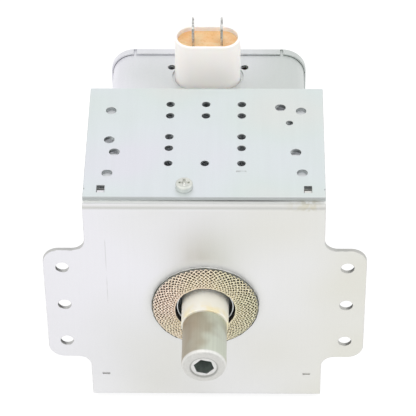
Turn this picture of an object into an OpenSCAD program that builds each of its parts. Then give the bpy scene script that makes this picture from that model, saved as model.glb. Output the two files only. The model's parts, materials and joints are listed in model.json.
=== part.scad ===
// Magnetron of a microwave oven: yoke, cooling fins, vacuum tube and filter box.
// X runs to the right, Y from the mounting face back to the filter box, Z up to the terminals.
// The origin lies on the antenna's axis, in the front plane of the flange plate.

/* [Yoke] */
// Width of the flange plate and the frame, between the open sides
yoke_w = 80; // [74:1:88]
// Height over the outer faces of the frame's two walls
yoke_h = 94; // [90:1:104]
// Depth from the mounting face to the outer face of the frame's back plate
yoke_d = 60; // [57:0.5:64]
// Sheet thickness of the flange plate
plate_t = 1.5; // [1.2:0.1:1.8]
// Sheet thickness of the frame
frame_t = 1.5; // [1.2:0.1:1.8]
// Inside radius of the flange plate's folds
plate_bend_r = 0.4; // [0.2:0.1:0.8]
// Inside radius of the frame's folds
frame_bend_r = 1; // [0.4:0.1:2]
// Depth of the flange plate's folded flaps, from the mounting face
flap_d = 11; // [10.5:0.5:12]
// Setback of the frame's walls behind the mounting face
wall_setback = 3; // [2:0.1:3.5]

/* [Mounting ears] */
// Span over the tips of the two ears
ear_span = 108.6; // [106:0.2:114]
// Height of an ear
ear_h = 51; // [46:0.5:56]
// Radius of an ear's outer corners
ear_corner_r = 5.5; // [3:0.5:7]
// Radius of the fillet where an ear meets the plate
ear_fillet_r = 4.5; // [2:0.5:6]
// Diameter of the mounting holes
ear_hole_d = 4.5; // [4:0.1:5.2]
// Distance of the mounting holes from the ears' tips
ear_hole_edge = 6.4; // [5.4:0.1:7.4]
// Pitch of the three holes in an ear
ear_hole_pitch = 17.6; // [15:0.2:18.4]
// Width of the small stamped marks in the plate
stamp_w = 2.5; // [1.5:0.1:4]
// Height of the small stamped marks
stamp_h = 0.9; // [0.5:0.1:1.5]
// Depth of the small stamped marks
stamp_depth = 0.6; // [0.3:0.1:0.9]
// Distance of a stamped mark from the plate's side edge
stamp_edge = 5; // [4:0.5:10]
// Distance of a stamped mark below the antenna's axis
stamp_z = 34.2; // [30:0.2:36]

/* [Wall holes] */
// Diameter of the small holes in the three middle rows
small_hole_d = 2.8; // [2:0.1:3.4]
// Diameter of the large holes near the wall's sides
large_hole_d = 3.5; // [2.5:0.1:4]
// Diameter of the single pilot hole
pilot_hole_d = 2.3; // [1.5:0.1:3]
// Distance of the side rows of small holes from the wall's middle
small_hole_x = 12.2; // [10:0.2:14]
// Width of the joining windows in the walls
window_w = 2.6; // [2:0.1:3.4]
// Length of the joining windows along the depth
window_l = 3.4; // [2.6:0.1:4]
// Distance of a window's middle from the wall's side edge
window_edge = 5.8; // [5:0.2:10]
// Depth of a window's middle behind the mounting face
window_y = 7.2; // [6.8:0.1:7.6]
// Diameter of the round nicks in the wall's side edges, beside the windows
nick_d = 1; // [0.6:0.1:1.6]
// Length of the stamped dash in front of the right row of small holes
dash_w = 3.2; // [2:0.1:4]
// Width of the stamped dash
dash_l = 0.6; // [0.4:0.1:1]
// Depth of the stamped dash
dash_depth = 0.3; // [0.2:0.1:0.6]
// Distance of the stamped dash in front of the row's first hole
dash_gap = 4; // [3:0.2:6]
// Length of the pressed-up pip that fills the front of a window
pip_l = 1.5; // [1:0.1:2]
// Height of the pip above the flap
pip_h = 1; // [0.5:0.1:1.2]
// Strip of the flap left between a pip and the slot it was lanced from
pip_land = 0.4; // [0.3:0.1:0.6]

/* [Yoke screw] */
// Place of the screw to the left of the wall's middle
screw_x = 6.6; // [4:0.1:9]
// Place of the screw behind the mounting face
screw_y = 8; // [7.2:0.1:8.4]
// Diameter of the screw's shank
screw_d = 3; // [2.5:0.1:3.5]
// Length of the shank past the flap's inner face
screw_past = 0.4; // [0.2:0.1:0.6]
// Diameter of the pan head
screw_head_d = 5.8; // [5.4:0.1:7]
// Height of the pan head
screw_head_h = 2.2; // [1.4:0.1:2.6]
// Rounding of the pan head's upper edge
screw_head_r = 0.8; // [0.4:0.1:1.1]
// Length of one arm of the cross recess, tip to tip
screw_recess_l = 3.6; // [2:0.1:4]
// Width of one arm of the cross recess
screw_recess_w = 0.8; // [0.5:0.1:1.1]

/* [Gasket] */
// Outer diameter of the woven wire gasket
gasket_d = 36.6; // [34:0.2:40]
// Clear bore of the gasket round the antenna's tube
gasket_clear = 0.45; // [0.2:0.05:0.8]
// Width of the ledge of flange plate behind the gasket's outer part
gasket_ledge = 6; // [3:0.5:7]
// Height of the gasket's crest in front of the mounting face
gasket_rise = 2.7; // [1.8:0.1:3.6]
// Height of the gasket's outer edge in front of the mounting face
gasket_edge = 1; // [0.5:0.1:1.4]
// Distance of the crest from the gasket's bore
gasket_crest = 1.2; // [0.6:0.1:2]
// Meshes in each ring of the weave
mesh_count = 38; // [24:1:40]
// Rings of meshes in the weave
mesh_rings = 3; // [2:1:3]
// Lean of the weave: shift of each ring of meshes on the ring inside it, in meshes
mesh_lean = 0.4; // [0:0.1:1]
// Width of one open mesh
mesh_d = 0.9; // [0.5:0.1:1.1]
// Depth of one open mesh
mesh_depth = 0.8; // [0.4:0.1:1.2]

/* [Antenna] */
// Outer diameter of the thin tubes of both seals
tube_d = 19.4; // [18.4:0.1:20.4]
// Wall of the seal tubes
tube_wall = 0.4; // [0.3:0.05:0.6]
// Edge of the front tube in front of the mounting face
tube_lip = 0.8; // [0.3:0.1:1.2]
// Depth of the ledge that carries the ceramic, behind the mounting face
ledge_y = 4; // [2:0.5:6]
// Thickness of the ledge and of the seals' flanges
seal_t = 0.5; // [0.4:0.1:0.8]
// Outer diameter of the ceramic insulator
ceramic_d = 16; // [15.4:0.1:16.8]
// Bore of the ceramic insulator
ceramic_bore = 11; // [9:0.5:12]
// Front end of the ceramic, in front of the mounting face
ceramic_reach = 10; // [8:0.5:13]
// Outer diameter of the antenna cap
cap_d = 15; // [14.4:0.1:15.4]
// Length of the antenna cap
cap_l = 19.3; // [17:0.1:21]
// Wall of the antenna cap
cap_wall = 0.6; // [0.5:0.05:0.8]
// Rounding of the cap's front edge
cap_nose_r = 1.7; // [1:0.1:2]
// Rounding of the cap's back rim
cap_rim_r = 0.5; // [0.2:0.05:0.5]
// Diameter of the pressed-in middle of the cap's face
cap_dish_d = 9; // [8:0.2:10]
// Depth of the pressed-in middle
cap_dish = 0.4; // [0.3:0.1:0.8]
// Hexagonal hole, across its flats
cap_hex = 6; // [5:0.1:6.6]
// Turn of the hexagonal hole from a corner on the horizontal, in degrees
cap_hex_turn = 14; // [0:1:59]
// Outer diameter of the copper pump-off tube under the cap
exhaust_d = 8.6; // [7:0.2:9.4]
// Wall of the pump-off tube
exhaust_wall = 1; // [0.7:0.1:1.2]
// Round length of the pump-off tube in front of the ceramic
exhaust_l = 9; // [7:0.5:10]
// Length of the pinched-off wedge at its end
pinch_l = 5; // [3:0.5:5.5]
// Thickness of the wedge's edge
pinch_t = 1; // [0.6:0.1:1.6]
// Diameter of the antenna lead
lead_d = 2; // [1.6:0.1:2.4]
// Gap round the antenna lead in the pole piece
lead_gap = 0.5; // [0.3:0.1:0.8]

/* [Magnets and anode] */
// Outer diameter of the ring magnets
magnet_d = 54; // [50:0.5:58]
// Thickness of a ring magnet
magnet_t = 12.5; // [11:0.5:13.5]
// Gap between a magnet's bore and the seal tube inside it
magnet_gap = 0.8; // [0.4:0.1:1.5]
// Chamfer on the magnets' edges
magnet_chamfer = 0.7; // [0.3:0.1:1.2]
// Outer diameter of the anode cylinder
anode_d = 43; // [40:0.5:46]
// Wall of the anode cylinder
anode_wall = 3; // [2:0.25:3.5]
// Number of vanes
vane_count = 10; // [8:2:12]
// Thickness of a vane
vane_t = 2; // [1.4:0.1:2.2]
// Gap between the vanes' ends and the tips of the pole pieces
vane_gap = 2.15; // [1.4:0.05:2.6]
// Diameter of the circle on which the vane tips end
vane_tip_d = 9.2; // [8.8:0.2:10.4]
// Inside radius of the inner strap rings
strap_r = 5.8; // [5.6:0.1:6.2]
// Wall of a strap ring
strap_wall = 0.8; // [0.6:0.1:1]
// Height of a strap ring
strap_h = 1; // [0.8:0.1:1.4]
// Free space round a strap where it passes a vane that it doesn't join
strap_free = 0.35; // [0.2:0.05:0.4]
// Land left in a vane between its two grooves
strap_land = 0.1; // [0.05:0.05:0.3]
// Thickness of a pole piece's sheet
pole_t = 1.6; // [1.2:0.1:2]
// Hole in the middle of a pole piece
pole_hole_d = 9.6; // [8.8:0.2:10.4]
// Depth of a pole piece's funnel
funnel_d = 5.5; // [4:0.25:6]
// Width of the flat ring round the pole piece's hole
funnel_flat = 2; // [1.2:0.1:2.6]
// Slope of the funnel, run across for each unit of depth
funnel_run = 1.25; // [0.9:0.05:1.5]

/* [Cathode] */
// Mean diameter of the filament's turns
filament_d = 3.8; // [3.4:0.1:4.2]
// Diameter of the filament's wire
filament_wire = 0.6; // [0.4:0.05:0.7]
// Least free space between two turns of the filament
filament_space = 0.2; // [0.15:0.05:0.6]
// Diameter of the end hats
hat_d = 7; // [6.4:0.1:7.6]
// Thickness of an end hat
hat_t = 1.2; // [0.8:0.1:1.4]
// Diameter of the cathode leads
cathode_lead_d = 1.4; // [1:0.1:1.6]
// Distance of the cathode leads from the axis in the stem
pin_x = 3; // [2.6:0.1:3.6]
// Distance of the side lead from the axis at its end hat
side_lead_x = 2.4; // [2.2:0.1:2.5]
// Straight length of the cathode leads in front of the stem ceramic
lead_straight = 2; // [1:0.5:3]
// Length of the rear tube behind the frame's back plate
stem_tube_l = 5.5; // [4:0.5:8]
// Depth of the stem ceramic inside the rear tube
stem_seat = 5; // [3:0.5:6]
// Length of the stem ceramic behind the tube
stem_l = 5.5; // [4:0.5:7]
// Diameter of the stem ceramic behind the tube
stem_d = 15; // [14:0.5:16]
// Thickness of the cathode terminals
cathode_tag_t = 0.8; // [0.5:0.1:1]
// Width of the cathode terminals
cathode_tag_w = 5; // [3:0.5:6]
// Distance of a terminal's upright leaf from the axis, to its outer face
cathode_tag_x = 6.8; // [6:0.1:7.4]

/* [Cooling fins] */
// Number of fins
fin_count = 6; // [5:1:7]
// Sheet thickness of a fin
fin_t = 0.6; // [0.4:0.1:0.8]
// Distance of a fin's side edge inside the yoke's open side
fin_side_gap = 2; // [1:0.5:5]
// Gap between the outermost lips and the folds of the yoke
fin_lip_gap = 0.1; // [0.05:0.05:1]
// Flat part of a fin past the anode, before it splays
fin_flat = 2.5; // [2:0.25:4]
// Height over which a fin splays
fin_splay_h = 12; // [10:0.5:13]
// Length of the folded lips that lie on the walls
fin_lip_l = 5.6; // [4:0.2:5.8]
// Width of a folded lip
fin_lip_w = 16; // [12:0.5:20]
// Gap between a fin's middle and the wall
fin_end_gap = 1.6; // [1.4:0.1:3]
// Free space from a fin's collar to the next fin
fin_collar_gap = 0.8; // [0.5:0.1:1.5]

/* [Filter box] */
// Width of the drawn can
box_w = 68.6; // [64:0.2:74]
// Height of the drawn can
box_h = 69; // [65:0.5:72]
// Depth of the drawn can behind the frame's back plate
box_d = 34.4; // [32:0.2:40]
// Sheet thickness of the can
box_t = 0.8; // [0.6:0.1:1]
// Radius of the can's four long edges
box_corner_r = 8; // [6:0.5:10]
// Drawn radius, outside, between the can's face and its sides
box_edge_r = 2; // [1.2:0.1:3]
// Sheet thickness of the lid
lid_t = 0.6; // [0.5:0.1:0.9]
// Drawn radius, outside, between the lid's face and its lip
lid_edge_r = 1; // [0.9:0.1:1.6]
// Depth of the lid's lip over the can
lid_lip = 2.6; // [2:0.1:4]
// Gap between the lid's lip and the can
lid_gap = 0.1; // [0.05:0.05:0.3]
// Width of the splits in the lid's lip
lid_split = 1; // [0.6:0.1:2]
// Distance of the rivets from the axis, across and up
rivet_x = 28; // [25:0.5:29]
// Diameter of a rivet's shank
rivet_d = 3; // [2.5:0.1:3.5]
// Diameter of a rivet's heads
rivet_head_d = 5.6; // [5:0.1:6.4]
// Height of a rivet's heads
rivet_head_h = 1.1; // [0.8:0.1:1.4]

/* [Capacitor and terminals] */
// Width of the oval cup
cup_w = 23.2; // [21:0.2:26]
// Depth of the oval cup
cup_d = 12.6; // [11.4:0.2:14]
// Height of the cup above the filter box
cup_h = 18; // [14:0.5:20]
// Depth of the cup below the filter box's top face
cup_below = 12.5; // [10:0.5:14]
// Wall of the cup
cup_wall = 1; // [0.8:0.1:1.4]
// Floor of the cup
cup_floor = 2; // [1.5:0.1:3]
// Middle of the cup behind the frame's back plate
cup_y = 20.2; // [19:0.2:22]
// Level of the resin below the cup's rim
resin_drop = 2.4; // [1.5:0.1:4]
// Gap between the cup and the opening in the filter box
cup_gap = 1; // [0.5:0.1:1.5]
// Width of the collar that holds the cup under its flange plate
cup_collar = 1.2; // [0.8:0.1:2]
// Height of that collar
cup_collar_h = 2; // [1.5:0.1:3]
// Width of the flange plate under the box's top
cap_plate_w = 34; // [31:0.5:38]
// Depth of that flange plate
cap_plate_d = 20; // [18:0.5:22]
// Thickness of that flange plate
cap_plate_t = 1; // [0.8:0.1:1.5]
// Diameter of the two holes behind the cup
cap_hole_d = 2.6; // [2:0.1:3]
// Sheet left between these holes and the cup's opening
cap_hole_land = 0.5; // [0.3:0.1:1.5]
// Place of these holes round the cup's end, towards the back, in degrees
cap_hole_turn = 32; // [20:1:45]
// Distance between the two blade terminals
tab_pitch = 10; // [9:0.2:11]
// Width of a blade terminal
tab_w = 6.3; // [4.8:0.1:6.6]
// Thickness of a blade terminal
tab_t = 0.8; // [0.5:0.1:1]
// Height of a blade above the cup's rim
tab_h = 6.9; // [5:0.1:9]
// Bevel of a blade's tip
tab_bevel = 1.1; // [0.6:0.1:1.6]
// Latching hole in a blade
tab_hole_d = 1.8; // [1.2:0.1:2.2]
// Distance of the latching hole from the tip
tab_hole_drop = 3.6; // [3:0.1:4.2]

/* [Chokes] */
// Distance of a choke's axis from the middle
choke_x = 20; // [18:0.5:23]
// Mean radius of a choke's turns
choke_r = 4.2; // [3.6:0.1:4.6]
// Diameter of the choke wire
choke_wire = 1.4; // [1:0.1:1.5]
// Turns of a choke
choke_turns = 9; // [5:1:10]
// Free space between two turns
choke_space = 0.25; // [0.2:0.05:0.5]
// Gap between a choke's turns and its ferrite core
core_gap = 0.25; // [0.1:0.05:0.4]
// Length of the core past the turns at each end
core_over = 1; // [0.5:0.1:2]

/* [Hidden] */
$fn = 96;
// Clearance of brazed, pressed and slid fits
fit = 0.05;
// Overshoot of a cut past the face that it opens
over = 1;

wall_out = yoke_h / 2;
wall_in = wall_out - frame_t;
flap_in = wall_in - plate_t;
back_in = yoke_d - frame_t;
mid_y = (plate_t + back_in) / 2;
window_x = yoke_w / 2 - window_edge;
screw_l = frame_t + plate_t + screw_past;

// Depths of the small holes in the upper wall's side rows and middle row
first_row = 19.9;
last_rows = [yoke_d - 15.9, yoke_d - 9.9];
side_rows = concat([first_row, 27.5, 33.3], last_rows);
middle_rows = concat([first_row], last_rows);
// Places of the large holes and the pilot hole: distance from the wall's side edge, and depth
left_holes = [[7.6, 14.9], [9.6, 25.5], [7.6, 31.7], [7.6, yoke_d - 13.3]];
right_holes = [[7.6, 15.3], [9.6, 25.5], [14.6, yoke_d - 11.5], [7.6, yoke_d - 13.3]];
pilot_hole = [11.6, yoke_d - 19.5];

tube_r = tube_d / 2;
gasket_r = gasket_d / 2;
gasket_bore_r = tube_r + gasket_clear;
crest_r = gasket_bore_r + gasket_crest;
dome_h = gasket_rise - gasket_edge;
dome_r = ((gasket_r - crest_r) ^ 2 + dome_h ^ 2) / (2 * dome_h);

cap_back = -ceramic_reach;
cap_front = cap_back - cap_l;
cap_r = cap_d / 2;
exhaust_front = cap_back - exhaust_l;
pinch_front = exhaust_front - pinch_l;

anode_r = anode_d / 2;
anode_in_r = anode_r - anode_wall;
magnet_bore_r = tube_r + magnet_gap;
seal_y = plate_t + magnet_t;
pole_y = seal_y + seal_t;
anode_y = pole_y + pole_t;
anode_l = 2 * (mid_y - anode_y);
seal_flange_r = anode_r - anode_wall / 2;
vane_y = anode_y + funnel_d + vane_gap;
vane_h = 2 * (mid_y - vane_y);
strap_out_r = strap_r + strap_wall + 2 * strap_free + strap_land;
funnel_tip_r = pole_hole_d / 2 + funnel_flat;
funnel_top_r = funnel_tip_r + funnel_d * funnel_run;

lead_x = strap_out_r + strap_wall + strap_free + lead_d / 2;
lead_bend_y = pole_y + funnel_d / 2;
lead_axis_y = ledge_y + seal_t + lead_d / 2;

hat_y = vane_y - hat_t / 2;
stem_tube_y = yoke_d + stem_tube_l;
stem_front_y = stem_tube_y - stem_seat;
stem_back_y = stem_tube_y + stem_l;
lead_split_y = back_in - magnet_t + over;
lead_joined_y = stem_front_y - lead_straight;

fin_w = yoke_w - 2 * fin_side_gap;
fin_in_pitch = anode_l / fin_count;
// The ends spread until the outermost lips stand clear of the folds at the plates
fin_fold = max(plate_bend_r, frame_bend_r);
fin_spread = back_in - plate_t - 2 * (fin_fold + fin_lip_gap + fin_lip_l);
fin_out_pitch = fin_spread / (fin_count - 1);
fin_bore_r = anode_r + fit;
// A fin stays flat until it has passed the anode and has room for the magnet's edge
magnet_relief = 3;
fin_flat_z = max(fin_bore_r + fin_flat, magnet_d / 2 - magnet_relief);
fin_splay_z = fin_flat_z + fin_splay_h;

box_back = yoke_d + box_d;
box_top = box_h / 2;
box_in_top = box_top - box_t;
lid_grow = lid_gap + lid_t;
cup_mid_y = yoke_d + cup_y;
cup_rim_z = box_top + cup_h;
cup_low_z = box_top - cup_below;
resin_low_z = cup_low_z + cup_floor;
resin_top_z = cup_rim_z - resin_drop;
tab_tip_z = cup_rim_z + tab_h;

choke_pitch = choke_wire + choke_space;
choke_low_z = 0;
choke_top_z = choke_low_z + choke_pitch * (choke_turns + 0.5);
// The upper choke lead meets the middle of the blade's rear half
choke_y = cup_mid_y + tab_w / 4 - choke_r;
cathode_tag_y = choke_y - choke_r + cathode_tag_w / 2;
tab_low_z = choke_top_z - 2 * choke_wire;

fin_names = [for (i = [1:fin_count]) str("cooling_fin_", i)];
vane_names = [for (i = [1:vane_count]) str("anode_vane_", i)];

// Directions

// Turns a shape made along Z so that it runs back along Y from depth y
module along_depth(y = 0) {
    translate([0, y, 0]) rotate([-90, 0, 0]) children();
}

// Extrudes an outline in X and Z back from depth y by t
module sheet(y, t) {
    translate([0, y + t, 0]) rotate([90, 0, 0]) linear_extrude(t) children();
}

// Extrudes a profile in Y and Z along X, over width w and centred on x
module across(w, x = 0) {
    translate([x - w / 2, 0, 0]) rotate([90, 0, 90]) linear_extrude(w) children();
}

// Mirrors the front half of the tube to the rear half
module to_rear() {
    translate([0, 2 * mid_y, 0]) mirror([0, 1, 0]) children();
}

// Outlines

module rounded_rect(w, h, r) {
    square([w - 2 * r, h], center = true);
    square([w, h - 2 * r], center = true);
    for (x = [-1, 1], z = [-1, 1]) translate([x * (w / 2 - r), z * (h / 2 - r)]) circle(r);
}

module stadium(w, d) {
    square([w - d, d], center = true);
    for (x = [-1, 1]) translate([x * (w - d) / 2, 0]) circle(d / 2);
}

// A block whose two corners at the web side are round
module web_block(h, d, r) {
    translate([r, -h / 2]) square([d - r, h]);
    translate([0, r - h / 2]) square([r, h - 2 * r]);
    for (z = [-1, 1]) translate([r, z * (h / 2 - r)]) circle(r);
}

// Section of a sheet folded to a channel, with its web on the depth axis' zero
module channel(h, d, t, bend_r) {
    difference() {
        web_block(h, d, bend_r + t);
        translate([t, 0]) web_block(h - 2 * t, d, bend_r);
    }
}

// Half section of a turned plug with rounded ends, radius over depth
module turned_section(r, y0, y1, front_r, back_r) {
    translate([0, y0 + front_r]) square([r, y1 - y0 - front_r - back_r]);
    translate([0, y0]) square([r - front_r, front_r]);
    translate([0, y1 - back_r]) square([r - back_r, back_r]);
    translate([r - front_r, y0 + front_r]) circle(front_r);
    translate([r - back_r, y1 - back_r]) circle(back_r);
}

function unit(v) = v / norm(v);
function side_of(a, b) = unit([a.y - b.y, b.x - a.x]);
function mitre(path, i) =
    i == 0 ? side_of(path[0], path[1]) :
    i == len(path) - 1 ? side_of(path[i - 1], path[i]) :
    let (before = side_of(path[i - 1], path[i]), after = side_of(path[i], path[i + 1]))
    (before + after) / (1 + before * after);

// Outline of a folded strip of thickness t along the middle line of its sheet
function strip(path, t) = concat(
    [for (i = [0:len(path) - 1]) path[i] + mitre(path, i) * t / 2],
    [for (i = [len(path) - 1:-1:0]) path[i] - mitre(path, i) * t / 2]);

// Round wires swept along a path

function tangent(path, i) =
    let (last = len(path) - 1)
    i == 0 ? unit(path[1] - path[0]) :
    i == last ? unit(path[last] - path[last - 1]) :
    unit(unit(path[i + 1] - path[i]) + unit(path[i] - path[i - 1]));
function upright(v, t) = unit(v - (v * t) * t);
function carried(path, v, i = 0) =
    i == len(path) ? [] :
    let (n = upright(v, tangent(path, i)))
    concat([n], carried(path, n, i + 1));

module wire(path, d, first, sides = 8) {
    last = len(path) - 1;
    normals = carried(path, first);
    ring = [0:sides - 1];
    points = [for (i = [0:last])
        let (n = normals[i], b = cross(tangent(path, i), n))
        for (k = ring) path[i] + d / 2 * (cos(360 * k / sides) * n + sin(360 * k / sides) * b)];
    walls = [for (i = [0:last - 1], k = ring)
        let (next = (k + 1) % sides)
        [i * sides + k, (i + 1) * sides + k, (i + 1) * sides + next, i * sides + next]];
    front_face = [for (k = ring) k];
    back_face = [for (k = ring) last * sides + sides - 1 - k];
    polyhedron(points, concat(walls, [front_face, back_face]));
}

// Yoke

module ear_outline() {
    rounded_rect(ear_span, ear_h, ear_corner_r);
    for (x = [-1, 1], z = [-1, 1]) at_corner(x, z) difference() {
        square(ear_fillet_r);
        translate([ear_fillet_r, ear_fillet_r]) circle(ear_fillet_r);
    }
}

// Moves a corner shape to one of the four places where an ear meets the plate
module at_corner(x, z) {
    translate([x * yoke_w / 2, z * ear_h / 2])
        mirror([x < 0 ? 1 : 0, 0]) mirror([0, z < 0 ? 1 : 0]) children();
}

module pips() {
    for (x = [-1, 1], z = [-1, 1])
        translate([x * window_x, window_y - window_l / 2 + fit + pip_l / 2, z * (wall_in + pip_h / 2 - fit)])
            cube([window_w - 2 * fit, pip_l, pip_h + 2 * fit], center = true);
}

// Slots left in the flaps behind the pips
module pip_slots() {
    slot_l = window_l - pip_l - pip_land;
    for (x = [-1, 1], z = [-1, 1])
        translate([x * window_x, window_y + window_l / 2 - slot_l / 2, z * (wall_in - plate_t / 2)])
            cube([window_w, slot_l, plate_t + over], center = true);
}

module screw_shank_hole(d) {
    translate([-screw_x, screw_y, flap_in - over]) cylinder(d = d, h = wall_out - flap_in + 2 * over);
}

module flange_plate() {
    color("gainsboro") difference() {
        union() {
            across(yoke_w) channel(2 * wall_in, flap_d, plate_t, plate_bend_r);
            sheet(0, plate_t) ear_outline();
            pips();
        }
        along_depth(-over) cylinder(r = gasket_r - gasket_ledge, h = plate_t + 2 * over);
        for (x = [-1, 1], row = [-1:1])
            translate([x * (ear_span / 2 - ear_hole_edge), -over, row * ear_hole_pitch])
                along_depth() cylinder(d = ear_hole_d, h = plate_t + 2 * over);
        for (x = [-1, 1])
            translate([x * (yoke_w / 2 - stamp_edge), 0, -stamp_z])
                cube([stamp_w, 2 * stamp_depth, stamp_h], center = true);
        pip_slots();
        screw_shank_hole(screw_d + 2 * fit);
    }
}

module wall_hole(place, d) {
    translate([place.x, place.y, wall_in - over]) cylinder(d = d, h = frame_t + 2 * over);
}

// Place on the wall at a distance from its left or right side edge
function from_edge(side, place) = [side * (yoke_w / 2 - place.x), place.y];

module yoke_frame() {
    color("gainsboro") difference() {
        across(yoke_w) translate([yoke_d, 0]) mirror([1, 0])
            channel(yoke_h, yoke_d - wall_setback, frame_t, frame_bend_r);
        for (x = [-1, 1], y = side_rows) wall_hole([x * small_hole_x, y], small_hole_d);
        for (y = middle_rows) wall_hole([0, y], small_hole_d);
        for (place = left_holes) wall_hole(from_edge(-1, place), large_hole_d);
        for (place = right_holes) wall_hole(from_edge(1, place), large_hole_d);
        wall_hole(from_edge(1, pilot_hole), pilot_hole_d);
        for (side = [-1, 1]) wall_hole(from_edge(side, [0, window_y]), nick_d);
        translate([small_hole_x, first_row - dash_gap, wall_out])
            cube([dash_w, dash_l, 2 * dash_depth], center = true);
        for (x = [-1, 1], z = [-1, 1])
            translate([x * window_x, window_y, z * (wall_in + frame_t / 2)])
                cube([window_w, window_l, frame_t + 2 * over], center = true);
        screw_shank_hole(screw_d + 2 * fit);
        along_depth(back_in - over) cylinder(d = tube_d + 2 * fit, h = frame_t + 2 * over);
        rivet_places() along_depth(back_in - over) cylinder(d = rivet_d + 2 * fit, h = frame_t + 2 * over);
    }
}

// Half section of the screw's pan head, radius over height
module pan_section() {
    flat_r = screw_head_d / 2 - screw_head_r;
    square([flat_r, screw_head_h]);
    square([screw_head_d / 2, screw_head_h - screw_head_r]);
    translate([flat_r, screw_head_h - screw_head_r]) circle(screw_head_r);
}

module yoke_screw() {
    color("lightgray") translate([-screw_x, screw_y, wall_out]) difference() {
        union() {
            rotate_extrude() pan_section();
            translate([0, 0, -screw_l]) cylinder(d = screw_d, h = screw_l + over / 2);
        }
        for (turn = [0, 90])
            translate([0, 0, screw_head_h]) rotate(turn)
                cube([screw_recess_l, screw_recess_w, screw_head_h], center = true);
    }
}

// Gasket and antenna

// Depth of the gasket's domed face at radius r
function dome_y(r) = dome_r - gasket_rise - sqrt(dome_r ^ 2 - (r - crest_r) ^ 2);

module rf_gasket() {
    ring_step = (gasket_r - gasket_bore_r) / mesh_rings;
    color("tan") difference() {
        along_depth() rotate_extrude() intersection() {
            translate([gasket_bore_r, -gasket_rise])
                square([gasket_r - gasket_bore_r, gasket_rise]);
            translate([crest_r, dome_r - gasket_rise]) circle(dome_r);
        }
        for (ring = [0:mesh_rings - 1], k = [0:mesh_count - 1])
            let (r = gasket_bore_r + (ring + 0.5) * ring_step)
            rotate([0, (k + ring * mesh_lean) * 360 / mesh_count, 0])
                translate([r, -gasket_rise - over, 0])
                    along_depth() cylinder(d = mesh_d, h = dome_y(r) + gasket_rise + over + mesh_depth);
    }
}

module front_seal() {
    color("silver") along_depth() rotate_extrude() union() {
        translate([tube_r - tube_wall, -tube_lip]) square([tube_wall, pole_y + tube_lip]);
        translate([tube_r - tube_wall, seal_y]) square([seal_flange_r - tube_r + tube_wall, seal_t]);
        translate([ceramic_bore / 2, ledge_y]) square([tube_r - tube_wall / 2 - ceramic_bore / 2, seal_t]);
    }
}

module antenna_ceramic() {
    color("ivory") along_depth(cap_back) difference() {
        cylinder(d = ceramic_d, h = ceramic_reach + ledge_y);
        translate([0, 0, -over]) cylinder(d = ceramic_bore, h = ceramic_reach + ledge_y + 2 * over);
    }
}

module antenna_cap() {
    dish_r = cap_dish_d / 2;
    color("darkkhaki") difference() {
        along_depth() rotate_extrude() difference() {
            union() {
                difference() {
                    turned_section(cap_r, cap_front, cap_back, cap_nose_r, cap_rim_r);
                    turned_section(cap_r - cap_wall, cap_front + cap_wall, cap_back + over,
                                   cap_nose_r - cap_wall, cap_rim_r);
                }
                translate([0, cap_front]) square([dish_r + cap_wall, cap_dish + cap_wall]);
            }
            translate([0, cap_front - over]) square([dish_r, cap_dish + over]);
        }
        rotate([0, cap_hex_turn, 0]) along_depth(cap_front - over)
            cylinder(r = cap_hex / 2 / cos(30), h = cap_dish + cap_wall + 2 * over, $fn = 6);
    }
}

module exhaust_tube() {
    exhaust_r = exhaust_d / 2;
    washer_r = cap_r - cap_wall - fit;
    color("peru") difference() {
        union() {
            along_depth(cap_back - exhaust_wall) cylinder(r = washer_r, h = exhaust_wall);
            along_depth(exhaust_front) cylinder(r = exhaust_r, h = exhaust_l);
            intersection() {
                along_depth(pinch_front) cylinder(r = exhaust_r, h = pinch_l);
                across(exhaust_d) polygon([[exhaust_front, exhaust_r], [pinch_front, pinch_t / 2],
                                           [pinch_front, -pinch_t / 2], [exhaust_front, -exhaust_r]]);
            }
        }
        along_depth(exhaust_front + exhaust_wall)
            cylinder(r = exhaust_r - exhaust_wall, h = exhaust_l + over);
        along_depth(exhaust_front - fit) cylinder(d = lead_d + 2 * fit, h = 2 * exhaust_wall);
    }
}

module antenna_lead() {
    color("peru") wire([[lead_x, vane_y, 0], [lead_x, lead_bend_y, 0],
                        [0, lead_axis_y, 0], [0, exhaust_front, 0]], lead_d, [0, 0, 1], 10);
}

// Vacuum tube

module magnet() {
    color("dimgray") along_depth() rotate_extrude() polygon([
        [magnet_bore_r + magnet_chamfer, plate_t],
        [magnet_d / 2 - magnet_chamfer, plate_t],
        [magnet_d / 2, plate_t + magnet_chamfer],
        [magnet_d / 2, seal_y - magnet_chamfer],
        [magnet_d / 2 - magnet_chamfer, seal_y],
        [magnet_bore_r + magnet_chamfer, seal_y],
        [magnet_bore_r, seal_y - magnet_chamfer],
        [magnet_bore_r, plate_t + magnet_chamfer]]);
}

module front_magnet() {
    magnet();
}

module rear_magnet() {
    to_rear() magnet();
}

module anode_cylinder() {
    color("chocolate") along_depth(anode_y) difference() {
        cylinder(r = anode_r, h = anode_l);
        translate([0, 0, -over]) cylinder(r = anode_in_r, h = anode_l + 2 * over);
    }
}

// Groove for one strap in the front edges of the vanes
module strap_groove(r, free, depth) {
    along_depth(vane_y - over) difference() {
        cylinder(r = r + strap_wall + free, h = depth + over);
        translate([0, 0, -over]) cylinder(r = r - free, h = depth + 3 * over);
    }
}

module vane_grooves(joins_inner) {
    strap_groove(strap_r, joins_inner ? fit : strap_free, strap_h + (joins_inner ? 0 : strap_free));
    strap_groove(strap_out_r, joins_inner ? strap_free : fit, strap_h + (joins_inner ? strap_free : 0));
}

module anode_vane(i) {
    joins_inner = i % 2 == 0;
    tip_r = vane_tip_d / 2;
    color("chocolate") difference() {
        intersection() {
            rotate([0, (i - 1) * 360 / vane_count, 0])
                translate([tip_r, vane_y, -vane_t / 2]) cube([anode_r, vane_h, vane_t]);
            along_depth(anode_y) cylinder(r = anode_in_r - fit, h = anode_l);
        }
        vane_grooves(joins_inner);
        to_rear() vane_grooves(joins_inner);
    }
}

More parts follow.
